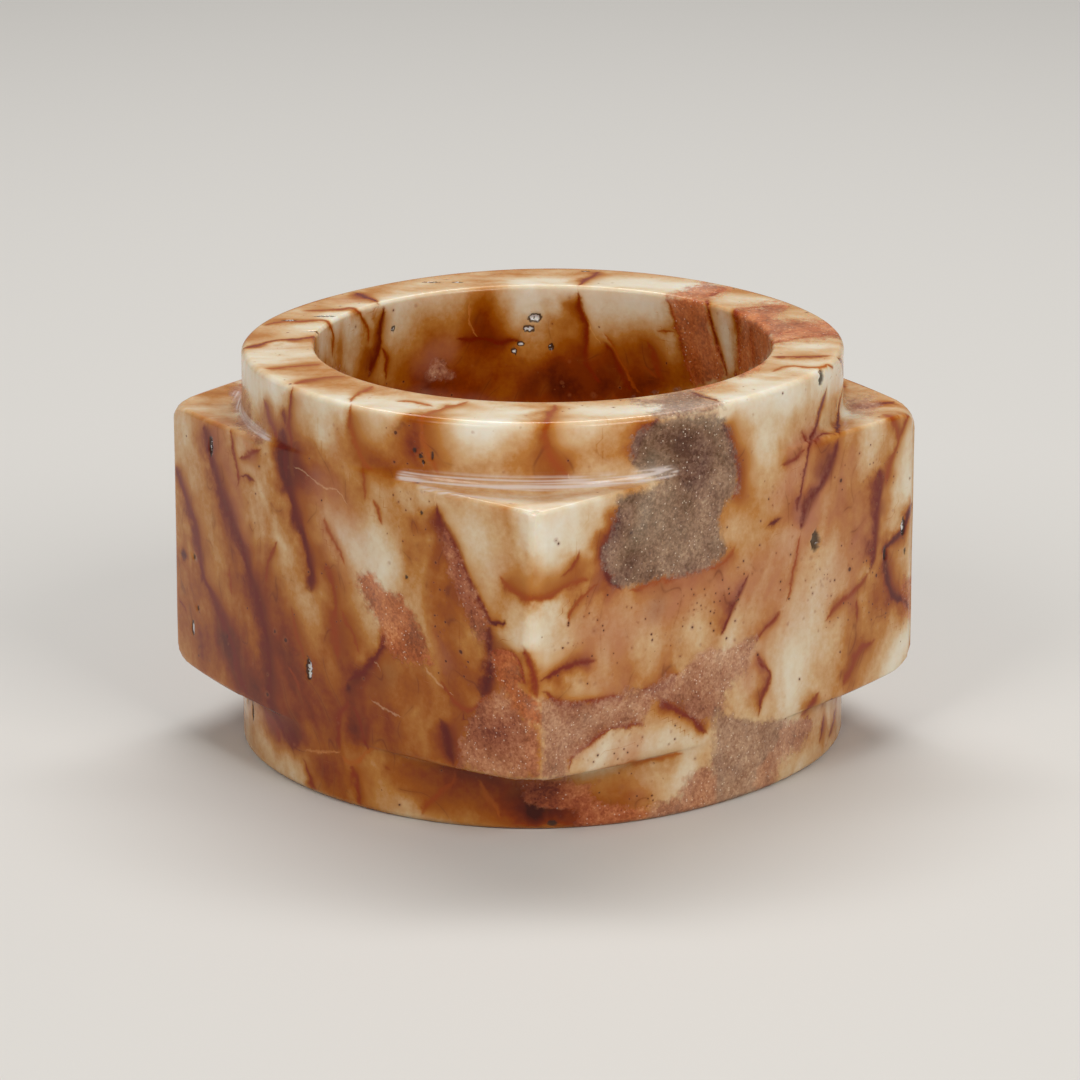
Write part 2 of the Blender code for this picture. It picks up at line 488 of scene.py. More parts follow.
# %% [markdown]
# ## Which vertices the photograph shows
# The veins are traced where they show. On the sides that the photograph hides the stone
# goes on in the same manner, only from noise. So each vertex is asked whether the camera
# sees it, and the answer is blurred over the neighbours, to let one kind of pattern run
# softly into the other.

# %% Seen and unseen
SEEN_GAP = 0.5 * MM
BLUR_ROUNDS = 10


def is_seen(place):
    """True if nothing of the stone lies between the camera and a place."""
    towards = Vector(place) - eye
    hit = surface.ray_cast(eye, towards.normalized())[0]
    return hit is not None and (hit - eye).length > towards.length - SEEN_GAP


def blurred(values, rounds):
    """Average values with those of the neighbouring vertices, a number of times."""
    pairs = np.empty(2 * len(mesh.edges), dtype=int)
    mesh.edges.foreach_get("vertices", pairs)
    one, other = pairs.reshape(-1, 2).T
    counts = 1.0 + np.bincount(one, minlength=len(values))
    counts += np.bincount(other, minlength=len(values))
    for _ in range(rounds):
        total = values + np.bincount(one, values[other], len(values))
        total += np.bincount(other, values[one], len(values))
        values = total / counts
    return values


seen = np.array([is_seen(place) for place in places])
around_unseen = blurred(1.0 - seen.astype(float), BLUR_ROUNDS)
unseen = np.clip(1.6 * around_unseen - 0.3, 0.0, 1.0)
from_eye = places - np.array(eye)
away_from_eye = -from_eye @ np.array(back)
pixel_x = PHOTO_MIDDLE + PIXELS_PER_RADIAN * (from_eye @ np.array(right)) / away_from_eye
pixel_y = PHOTO_MIDDLE - PIXELS_PER_RADIAN * (from_eye @ np.array(up)) / away_from_eye
print("share of the vertices seen:", round(seen.mean(), 3))

# %% [markdown]
# ## The veins, traced
# Each vein is an iron-stained sheet in the stone, and shows as a line with a dark core
# and a glow on one side or both. It is written down as its tone, the half-width of its
# core, the width of its glow on its right and on its left when it is drawn downwards (or
# above and below, when it is drawn to the right), and the pixels that it runs through.
# Drawing them from noise would give a different stone.

# %% Tones and paths of the veins
# The tone is 0 for amber, 0.25 for orange, 0.5 for rust, 0.75 for red and 1 for plum
PALE = -0.4

LEFT_FACE_VEINS = {
    "plum_root": (0.95, 0.9, 2.2, 0.9, [(284, 438), (284, 460), (286, 480), (290, 497)]),
    "plum_vein": (0.85, 0.8, 1.8, 1.1, [
        (283, 425), (284, 450), (286, 480), (290, 495), (296, 515), (302, 535), (307, 555),
        (310, 570), (311, 580), (313, 594)]),
    "collar_brown": (0.5, 0.3, 1.2, 0.9, [(291, 386), (290, 400), (289, 420), (290, 436), (292, 452)]),
    "collar_streak_a": (0.5, 0.4, 0.8, 1.0, [(262, 398), (267, 408), (270, 420), (275, 430), (280, 438)]),
    "collar_streak_b": (0.7, 0.3, 0.7, 0.7, [(283, 405), (284, 416), (286, 428)]),
    "pale_crack": (PALE, 0.1, 0.0, 0.0, [
        (293, 465), (302, 470), (312, 480), (325, 487), (338, 492), (349, 507)]),
    "orange_vein": (0.25, 0.3, 1.8, 1.0, [
        (349, 403), (350, 420), (353, 435), (358, 450), (362, 460), (368, 468), (375, 473)]),
    "orange_branch": (0.3, 0.2, 0.6, 0.8, [(361, 458), (363, 475), (365, 502)]),
    "edge_vein": (0.72, 0.85, 1.4, 1.6, [
        (173, 455), (180, 480), (185, 495), (190, 510), (195, 525), (199, 550), (203, 578),
        (212, 595), (220, 612), (227, 632), (233, 650), (238, 670), (248, 700)]),
    "deep_red": (0.8, 1.0, 2.2, 1.3, [
        (203, 422), (206, 435), (210, 455), (218, 482), (222, 495), (228, 510), (235, 530),
        (243, 550), (250, 578), (256, 595), (261, 610), (263, 625), (266, 640), (269, 670),
        (268, 685), (269, 700), (275, 715), (285, 730), (300, 745)]),
    "rosy_thin": (0.5, 0.15, 0.6, 0.3, [(230, 428), (233, 450), (238, 478), (236, 486)]),
    "rosy_top": (0.55, 0.2, 0.8, 0.3, [(262, 448), (250, 455), (238, 458)]),
    "shadow_line": (0.8, 0.2, 0.3, 0.6, [(240, 479), (248, 477), (256, 480)]),
    "small_brown": (0.4, 0.2, 0.9, 0.9, [(278, 540), (270, 555), (267, 567), (267, 585)]),
    "thin_a": (0.3, 0.12, 0.5, 0.5, [(324, 515), (330, 532), (338, 548), (346, 566)]),
    "thin_b": (0.3, 0.12, 0.4, 0.4, [(373, 497), (378, 510), (384, 526)]),
    "amber_core": (0.4, 0.5, 2.0, 1.6, [
        (326, 560), (331, 580), (334, 600), (335, 620), (337, 645), (338, 662)]),
    "wisp_a": (0.35, 0.15, 0.8, 0.6, [(291, 605), (297, 635), (306, 662)]),
    "wisp_b": (0.4, 0.18, 0.8, 0.6, [(287, 665), (302, 692)]),
    "wisp_c": (0.35, 0.15, 0.8, 0.6, [(340, 608), (348, 625), (360, 655)]),
    "rust_edge": (0.8, 0.25, 1.4, 0.5, [
        (388, 628), (385, 640), (378, 650), (370, 665), (362, 675), (345, 678)]),
    "pale_crack_b": (PALE, 0.08, 0.0, 0.0, [(370, 698), (385, 708), (403, 718)]),
    "pale_crack_c": (PALE, 0.08, 0.0, 0.0, [(372, 658), (377, 665), (382, 672)]),
    "side_brown": (0.35, 0.25, 1.2, 0.9, [(228, 565), (230, 580), (232, 597)]),
    "dark_spot_a": (1.0, 0.9, 1.0, 1.0, [(180, 551), (184, 554), (188, 558)]),
    "dark_spot_b": (1.0, 0.8, 1.0, 1.0, [(225, 630), (227, 636), (229, 642)]),
    "dark_spot_c": (1.0, 0.9, 1.0, 1.2, [(345, 682), (348, 688), (351, 694)]),
    "edge_tick": (0.6, 0.15, 0.4, 0.4, [(178, 600), (187, 612)]),
}

FOOT_VEINS = {
    "flake_a": (-0.1, 0.1, 0.5, 0.2, [(304, 751), (315, 750), (330, 752), (341, 751)]),
    "flake_b": (0.1, 0.2, 0.6, 0.4, [
        (341, 753), (347, 760), (352, 762), (358, 760), (368, 753), (373, 749), (381, 751)]),
    "bubble_left": (0.55, 0.25, 0.3, 1.2, [(350, 700), (342, 712), (339, 725), (339, 740), (342, 751)]),
    "bubble_right": (0.6, 0.25, 1.2, 0.4, [(352, 704), (358, 715), (362, 730), (366, 745), (369, 753)]),
    "foot_brown_a": (0.55, 0.3, 0.8, 1.0, [(303, 757), (306, 770), (312, 782), (319, 794)]),
    "foot_brown_b": (0.5, 0.35, 1.4, 0.8, [(352, 762), (355, 775), (357, 790), (360, 808)]),
    "foot_brown_c": (0.35, 0.25, 0.9, 0.5, [
        (458, 768), (452, 780), (444, 790), (434, 800), (424, 808), (420, 816)]),
    "foot_olive": (0.15, 0.25, 0.8, 0.8, [(478, 778), (486, 793), (494, 806), (499, 820)]),
    "rust_dash": (0.6, 0.25, 0.5, 0.5, [(384, 764), (392, 771)]),
    "foot_rust_left": (0.55, 0.35, 1.0, 1.2, [(262, 703), (268, 715), (277, 728), (281, 745)]),
    # foot_shadow is no iron vein: its line paints the shadow under the block's lower ledge.
    "foot_shadow": (0.1, 0.3, 0.3, 1.0, [(625, 763), (650, 759), (672, 756), (684, 754)]),
    "foot_side_a": (0.7, 0.4, 0.8, 0.8, [(824, 712), (822, 728), (818, 745)]),
    "foot_side_b": (0.65, 0.4, 0.6, 0.6, [(836, 705), (833, 722), (828, 740)]),
}

FRONT_VEINS = {
    "collar_amber": (0.2, 0.25, 2.4, 0.7, [
        (470, 401), (455, 405), (440, 409), (425, 415), (421, 421), (421, 430), (425, 442),
        (430, 455), (436, 468), (440, 476)]),
    "collar_crack": (PALE, 0.1, 0.0, 0.0, [
        (466, 402), (453, 405), (438, 409), (426, 414), (421, 421), (421, 430), (425, 442),
        (430, 455), (436, 468)]),
    "middle_amber": (0.3, 0.3, 1.8, 2.2, [
        (557, 401), (552, 411), (547, 419), (545, 430), (546, 442), (550, 452), (556, 462),
        (563, 470), (571, 478)]),
    "middle_crack": (PALE, 0.08, 0.0, 0.0, [(554, 455), (561, 463), (567, 471), (575, 481)]),
    "near_crack": (PALE, 0.11, 0.0, 0.3, [
        (437, 486), (434, 495), (434, 505), (438, 515), (443, 524), (449, 534)]),
    "near_red": (0.8, 0.45, 0.5, 2.6, [
        (434, 502), (440, 520), (449, 535), (455, 546), (459, 557), (464, 572), (471, 587),
        (479, 602), (486, 616), (491, 625)]),
    "near_hook": (0.95, 0.3, 0.6, 0.5, [(484, 619), (493, 625), (502, 625), (507, 620)]),
    "near_plum": (0.95, 0.7, 1.2, 1.0, [
        (490, 624), (487, 636), (488, 650), (490, 668), (487, 685), (482, 700)]),
    "lens_edge": (0.4, 0.25, 0.3, 0.8, [
        (440, 678), (447, 692), (457, 704), (468, 710), (479, 706), (487, 692)]),
    "lens_crack": (PALE, 0.15, 0.3, 0.3, [(425, 664), (432, 677), (440, 685), (448, 692), (455, 695)]),
    "plum_band": (0.9, 0.4, 1.2, 1.8, [(440, 716), (447, 733), (450, 750), (453, 767)]),
    "smile": (0.35, 0.45, 2.4, 1.0, [
        (498, 575), (505, 584), (514, 592), (524, 598), (535, 600), (546, 598), (556, 593),
        (566, 588), (577, 583), (590, 577)]),
    "wedge": (0.45, 0.25, 1.2, 0.9, [(578, 549), (576, 560), (568, 569), (560, 577)]),
    "thin_arc": (0.35, 0.12, 0.5, 0.3, [(601, 583), (590, 590), (579, 602), (571, 613), (566, 626)]),
    "corner_red": (0.55, 0.35, 1.0, 1.4, [(523, 645), (528, 660), (533, 674), (535, 688), (536, 702)]),
    "red_right": (0.7, 0.22, 1.0, 1.3, [(538, 684), (552, 676), (566, 667), (580, 661), (598, 659)]),
    "red_right_low": (0.55, 0.25, 0.5, 0.8, [(540, 692), (556, 700), (576, 703), (600, 700), (625, 697)]),
    "grain_arc": (0.5, 0.18, 0.4, 0.6, [
        (489, 656), (500, 651), (512, 653), (519, 664), (523, 678), (528, 687)]),
    "grain_crack": (PALE, 0.1, 0.0, 0.0, [(515, 688), (523, 697), (531, 708)]),
}

RIGHT_FACE_VEINS = {
    "rose_right": (0.85, 0.7, 0.8, 1.8, [
        (838, 436), (835, 450), (831, 464), (825, 478), (816, 492), (808, 505), (803, 518),
        (801, 532)]),
    "side_crack": (0.9, 0.16, 0.3, 0.3, [
        (836, 357), (842, 365), (843, 385), (839, 405), (838, 422), (838, 436)]),
    "hair_right": (0.8, 0.14, 0.4, 0.3, [
        (827, 385), (824, 400), (819, 415), (815, 430), (810, 445), (806, 462), (802, 480),
        (799, 500), (797, 514)]),
    "rose_wisp_a": (0.6, 0.14, 0.5, 0.5, [(800, 430), (806, 438), (810, 447)]),
    "rose_wisp_b": (0.6, 0.14, 0.5, 0.5, [(780, 467), (795, 457), (806, 447)]),
    "rose_wisp_c": (0.65, 0.16, 0.5, 0.5, [(811, 442), (826, 434), (838, 437)]),
    "hair_down": (0.35, 0.1, 0.4, 0.4, [(801, 532), (798, 546), (795, 565), (791, 582), (786, 603)]),
    "plum_dash": (0.95, 0.3, 0.4, 0.4, [(766, 529), (774, 523), (783, 516)]),
    "rose_band": (0.8, 0.35, 0.2, 1.6, [(749, 572), (742, 588), (734, 605), (727, 620), (720, 637)]),
    "rust_smear": (0.55, 0.35, 0.7, 1.2, [(782, 611), (771, 622), (760, 632), (755, 645)]),
    "peach_edge": (0.65, 0.16, 0.3, 1.2, [
        (757, 650), (763, 664), (769, 676), (766, 690), (760, 704), (757, 718)]),
    "bottom_rust": (0.5, 0.35, 1.2, 1.0, [(820, 689), (815, 700), (808, 709), (799, 718)]),
    "corner_rust": (0.8, 1.1, 0.9, 1.8, [
        (881, 466), (880, 485), (877, 505), (875, 530), (873, 555), (869, 572)]),
    "corner_tail": (0.45, 0.22, 0.7, 0.7, [
        (869, 572), (862, 583), (851, 596), (842, 603), (832, 612), (824, 621)]),
    "corner_branch": (0.5, 0.2, 0.7, 0.7, [(857, 597), (856, 610), (857, 626)]),
    "corner_amber": (0.35, 0.4, 0.9, 0.9, [
        (880, 414), (890, 416), (896, 425), (898, 440), (893, 455), (889, 470), (885, 488)]),
    "corner_arm": (0.4, 0.2, 0.6, 0.6, [(908, 414), (903, 428), (898, 442)]),
    "dark_arm": (0.95, 0.35, 1.0, 0.9, [
        (913, 503), (906, 518), (900, 534), (890, 542), (884, 549), (885, 562), (887, 575),
        (889, 589), (897, 598), (906, 605), (912, 614)]),
    "low_rust": (0.45, 0.4, 1.3, 1.3, [(876, 639), (865, 646), (857, 656), (850, 671), (843, 688)]),
    "ledge_streak": (0.85, 0.35, 0.8, 0.8, [(853, 409), (870, 405), (897, 402)]),
    "grey_margin_left": (0.9, 0.3, 1.2, 1.4, [
        (618, 503), (617, 518), (614, 532), (606, 545), (603, 556), (605, 568), (611, 581),
        (622, 592)]),
    "grey_margin_top": (0.45, 0.35, 0.6, 1.4, [
        (662, 420), (648, 428), (640, 438), (635, 450), (632, 466)]),
    "grey_margin_right": (0.55, 0.12, 1.6, 0.6, [
        (722, 420), (729, 438), (734, 455), (740, 470), (738, 490), (730, 501)]),
    "grey_margin_low": (0.3, 0.12, 0.5, 1.0, [
        (628, 592), (650, 583), (675, 578), (700, 572), (722, 562), (737, 545)]),
    "pink_line_a": (0.7, 0.2, 0.6, 0.6, [(656, 698), (668, 705), (682, 712), (697, 722), (708, 735)]),
    "pink_line_b": (0.75, 0.25, 0.8, 0.8, [(640, 690), (652, 692), (665, 686), (680, 672)]),
    "lens_top": (0.55, 0.2, 0.8, 0.2, [
        (571, 772), (574, 757), (586, 745), (602, 733), (622, 728), (645, 722)]),
}

RIM_VEINS = {
    "rim_red": (0.65, 0.2, 0.5, 1.0, [(243, 348), (262, 344), (280, 340), (300, 339), (316, 337)]),
    "rim_orange_a": (0.35, 0.15, 0.4, 0.6, [
        (262, 326), (280, 322), (300, 321), (322, 320), (330, 326), (333, 340), (332, 358)]),
    "rim_orange_b": (0.4, 0.18, 0.4, 0.8, [
        (300, 311), (320, 310), (340, 309), (352, 308), (358, 313), (363, 322), (368, 333),
        (366, 346)]),
    "rim_middle": (0.3, 0.2, 0.8, 0.5, [(262, 369), (280, 368), (300, 366), (325, 363)]),
    "rim_low": (0.35, 0.3, 0.4, 1.4, [(292, 385), (302, 381), (315, 379), (335, 377), (352, 375)]),
    "rim_front_a": (0.25, 0.2, 0.6, 0.6, [(350, 403), (358, 395), (366, 389), (376, 384)]),
    "rim_front_b": (0.15, 0.25, 0.5, 0.5, [(393, 401), (408, 401), (420, 403), (434, 407)]),
    "rim_back": (0.8, 0.2, 0.5, 1.0, [(346, 291), (360, 294), (371, 299), (381, 304)]),
    "bore_left": (0.85, 0.3, 0.5, 1.6, [
        (382, 305), (383, 314), (381, 325), (379, 338), (379, 346), (375, 360), (372, 370),
        (369, 380)]),
    "bore_left_b": (0.6, 0.16, 0.4, 0.4, [(380, 347), (388, 359), (386, 370), (384, 382)]),
    "back_crack_a": (-0.05, 0.03, 0.6, 0.6, [(469, 297), (470, 315), (472, 330), (477, 342)]),
    "back_red": (0.75, 0.25, 0.6, 1.2, [(455, 338), (475, 340), (500, 341), (522, 340)]),
    "back_crack_b": (-0.2, 0.03, 0.3, 0.0, [
        (576, 286), (579, 300), (583, 313), (588, 325), (594, 335), (603, 345)]),
    "back_brown_b": (0.65, 0.3, 0.3, 2.6, [
        (577, 290), (580, 306), (585, 322), (587, 340), (586, 358), (590, 372), (602, 385)]),
    "back_crack_c": (0.3, 0.05, 0.4, 0.0, [
        (604, 332), (613, 346), (620, 360), (628, 375), (636, 388), (642, 397)]),
    "back_brown_c": (0.7, 0.35, 0.2, 2.6, [(603, 340), (611, 352), (618, 366), (626, 380), (634, 392)]),
    "back_olive_a": (0.5, 0.25, 0.8, 0.8, [(646, 340), (652, 350), (657, 361), (659, 371), (664, 382)]),
    "back_olive_b": (0.4, 0.12, 0.4, 0.4, [(640, 365), (650, 370), (660, 378)]),
    "back_thin": (0.35, 0.1, 0.3, 0.3, [(655, 330), (665, 331), (676, 333)]),
    "rim_back_rust": (0.65, 0.2, 0.8, 1.0, [(600, 271), (592, 277), (583, 282), (577, 287)]),
    "strip_left": (0.4, 0.25, 0.3, 0.8, [
        (667, 298), (672, 312), (677, 330), (682, 350), (688, 370), (694, 388)]),
    "strip_right": (0.8, 0.3, 0.4, 0.4, [
        (706, 299), (708, 315), (713, 330), (718, 345), (722, 360), (727, 377)]),
    "strip_rim": (0.8, 0.15, 0.4, 0.2, [(706, 298), (715, 293), (727, 288)]),
    "second_left": (0.5, 0.3, 0.5, 0.7, [(737, 308), (738, 325), (739, 345), (739, 374)]),
    "second_dark": (0.9, 0.25, 0.5, 0.5, [(751, 324), (752, 345), (754, 366)]),
    "rim_right_a": (0.35, 0.2, 0.3, 0.5, [(740, 309), (765, 307), (790, 306), (806, 306)]),
    "rim_right_b": (0.6, 0.15, 0.4, 0.4, [(772, 335), (800, 331), (822, 328)]),
    "rim_right_c": (0.35, 0.2, 0.5, 0.5, [(770, 344), (800, 338), (842, 333)]),
    "rim_right_d": (0.55, 0.18, 0.4, 0.6, [(765, 357), (800, 357), (833, 356)]),
    "rim_right_e": (0.2, 0.14, 0.4, 0.4, [(770, 372), (790, 366), (812, 367), (834, 366)]),
    "rim_grey_dark": (0.9, 0.22, 0.3, 0.6, [(690, 391), (704, 397), (722, 403)]),
}

# %% [markdown]
# ## From pixels to a distance on the stone
# A vein is far thinner than a face of the mesh, so it can't be painted on the vertices.
# Its distance can: each vertex stores how far it is from the vein, with a sign for the
# side, and between two vertices the distance changes evenly. The material then draws a
# line as sharp as it likes where the distance is near zero. Veins that run close to each
# other would mix up their distances, so they are dealt out to a few separate sheets of
# attributes, and the material reads each sheet in turn.

# %% Measure the distance to every vein
TRACE_STEP = 3.0
END_FADE = 1.6
GLOW_REACH = 3.4
LONGEST_JUMP = 4.0 * MM
SHEETS = 7
CLEAR_GAP = 1.0
LEAST_GLOW = 0.5
TAKEN = 0.2
FARTHEST = 12.0


def curve_through(pixels):
    """Points close together on a smooth curve through the given pixels."""
    ends = [pixels[0]] + list(pixels) + [pixels[-1]]
    curve = []
    for before, start, end, after in zip(ends, ends[1:], ends[2:], ends[3:]):
        before, start, end, after = map(np.array, (before, start, end, after))
        steps = max(int(math.dist(start, end) / TRACE_STEP), 1)
        for t in np.arange(steps) / steps:
            pull = 2.0 * start + (end - before) * t
            pull = pull + (2.0 * before - 5.0 * start + 4.0 * end - after) * t**2
            curve.append(0.5 * (pull + (3.0 * start - before - 3.0 * end + after) * t**3))
    return curve + [np.array(pixels[-1], dtype=float)]


def trace(pixels):
    """Places on the stone along a curve of pixels: the longest run without a jump."""
    found = [touch(x, y, surface) for x, y in curve_through(pixels)]
    found = [np.array(place) for place in found if place is not None]
    runs = [found[:1]]
    for place in found[1:]:
        if np.linalg.norm(place - runs[-1][-1]) > LONGEST_JUMP:
            runs.append([])
        runs[-1].append(place)
    return np.array(max(runs, key=len))


def measure(path, reach):
    """Vertices near a path, with their signed distance from it and distance to its ends."""
    low, high = path.min(axis=0) - reach, path.max(axis=0) + reach
    near = np.flatnonzero(np.all((places > low) & (places < high), axis=1))
    spots, facing = places[near], normals[near]
    offset = np.full(len(near), np.inf)
    walked = np.zeros(len(near))
    travelled = 0.0
    for start, end in zip(path, path[1:]):
        step = end - start
        length = max(np.linalg.norm(step), 1e-9)
        share = np.clip((spots - start) @ step / length**2, 0.0, 1.0)
        gap = spots - start - share[:, None] * step
        distance = np.linalg.norm(gap, axis=1)
        side = np.sign(np.einsum("ij,ij->i", np.cross(facing, step), gap))
        closer = distance < np.abs(offset)
        offset = np.where(closer, distance * np.where(side == 0.0, 1.0, side), offset)
        walked = np.where(closer, travelled + share * length, walked)
        travelled += length
    to_end = np.minimum(walked, travelled - walked)
    return near, offset / MM, to_end / MM


EMPTY_SHEET = {
    "offset": 99.0, "second": 99.0, "strength": 0.0, "tone": 0.0,
    "core": 0.2, "right": 0.0, "left": 0.0,
}
veins = {name: np.full((SHEETS, len(places)), value) for name, value in EMPTY_SHEET.items()}


def deal_vein(tone, core, right_glow, left_glow, pixels):
    """Write one vein on the sheet where it meets the least of the other veins."""
    reach = core + GLOW_REACH * max(right_glow, left_glow, LEAST_GLOW)
    near, offset, to_end = measure(trace(pixels), reach * MM)
    within = np.abs(offset) < reach
    near, offset, to_end = near[within], offset[within], to_end[within]
    distance = np.abs(offset)
    crowds = [(veins["strength"][sheet, near] > TAKEN).sum() for sheet in range(SHEETS)]
    sheet = int(np.argmin(crowds))
    strength = np.clip(to_end / END_FADE, 0.0, 1.0)
    strength *= np.clip(2.0 * (1.0 - distance / reach), 0.0, 1.0)
    nearest = np.abs(veins["offset"][sheet, near])
    ahead = distance < nearest
    behind = np.minimum(veins["second"][sheet, near], distance)
    veins["second"][sheet, near] = np.where(ahead, nearest, behind)
    won = near[ahead]
    veins["offset"][sheet, won] = offset[ahead]
    veins["strength"][sheet, won] = strength[ahead]
    plain = {"tone": tone, "core": core, "right": right_glow, "left": left_glow}
    for name, value in plain.items():
        veins[name][sheet, won] = value
    return sheet


dealt = [0] * SHEETS
for family in (LEFT_FACE_VEINS, FOOT_VEINS, FRONT_VEINS, RIGHT_FACE_VEINS, RIM_VEINS):
    for vein in family.values():
        dealt[deal_vein(*vein)] += 1
print("veins on each sheet:", dealt)

# %% [markdown]
# Halfway between two veins of one sheet the distance jumps from the one to the other,
# and the jump would show as a false line. So a vein's strength falls to nothing where
# another one on its sheet comes as near.

# %% Store the sheets as attributes
def store(name, *columns):
    """Keep three values a vertex as one vector attribute, or one value as a number."""
    kind, field = ("FLOAT", "value") if len(columns) == 1 else ("FLOAT_VECTOR", "vector")
    layer = mesh.attributes.new(name, kind, "POINT")
    layer.data.foreach_set(field, np.column_stack(columns).astype(np.float32).ravel())


for sheet in range(SHEETS):
    drawn = {name: values[sheet] for name, values in veins.items()}
    lead = (drawn["second"] - np.abs(drawn["offset"])) / CLEAR_GAP
    strength = drawn["strength"] * np.clip(lead, 0.0, 1.0)
    offset = np.clip(drawn["offset"], -FARTHEST, FARTHEST)
    store(f"vein_place_{sheet}", offset, strength, drawn["tone"])
    store(f"vein_width_{sheet}", drawn["core"], drawn["right"], drawn["left"])
print("attributes stored for", SHEETS, "sheets")

# %% [markdown]
# ## Veins on the unseen sides
# The sheets of iron go right through the stone. They stand nearly upright, face the
# camera and lean a little, so on the hidden sides they are planes of that direction, set
# at uneven spacing and bent by noise. They fade away where the traced ones begin.

# %% Planes through the hidden half
SHEET_NORMAL = np.array([0.66, -0.69, 0.22])
HIDDEN_SHEETS = [  # distance of the plane along the sheet normal in mm, tone, core, glows
    (-38.0, 0.75, 0.5, 1.6, 1.2), (-31.0, 0.4, 0.3, 1.4, 1.8), (-22.5, 0.85, 0.4, 1.2, 2.0),
    (-16.5, 0.3, 0.3, 1.8, 1.0), (-8.0, 0.6, 0.5, 1.6, 1.4), (0.5, 0.9, 0.35, 1.0, 1.8),
    (7.0, 0.35, 0.3, 1.4, 1.0), (15.0, 0.7, 0.45, 1.8, 1.4), (24.0, 0.45, 0.3, 1.2, 1.2),
]
HIDDEN_GROUPS = 2
FINE_BEND = 1.2
FINE_BEND_SIZE = 0.006
BEND = 5.5
BEND_SIZE = 0.021
PATCHY_SIZE = 0.013


def noise_at(size, seed):
    """Slow noise from -1 to 1 at every vertex."""
    shift = Vector((seed, 2.0 * seed, 3.0 * seed))
    return np.array([noise.noise(Vector(place) / size + shift) for place in places])


bent = places @ SHEET_NORMAL / MM + BEND * noise_at(BEND_SIZE, 1.0)
bent += FINE_BEND * noise_at(FINE_BEND_SIZE, 2.0)
patchy = noise_at(PATCHY_SIZE, 3.0)
for sheet in range(HIDDEN_GROUPS):
    chosen = HIDDEN_SHEETS[sheet::HIDDEN_GROUPS]
    gaps = np.array([bent - plane[0] for plane in chosen])
    nearest = np.argmin(np.abs(gaps), axis=0)
    offset = gaps[nearest, np.arange(len(places))]
    tone, core, right_glow, left_glow = np.array([plane[1:] for plane in chosen])[nearest].T
    near_enough = np.clip(2.0 - np.abs(offset) / 3.0, 0.0, 1.0)
    sign = 1.0 if sheet else -1.0
    strength = unseen * np.clip(0.75 + 1.3 * sign * patchy, 0.0, 1.0) * near_enough
    store(f"hidden_place_{sheet}", offset, strength, tone)
    store(f"hidden_width_{sheet}", core, right_glow, left_glow)
print("planes through the hidden half:", len(HIDDEN_SHEETS))
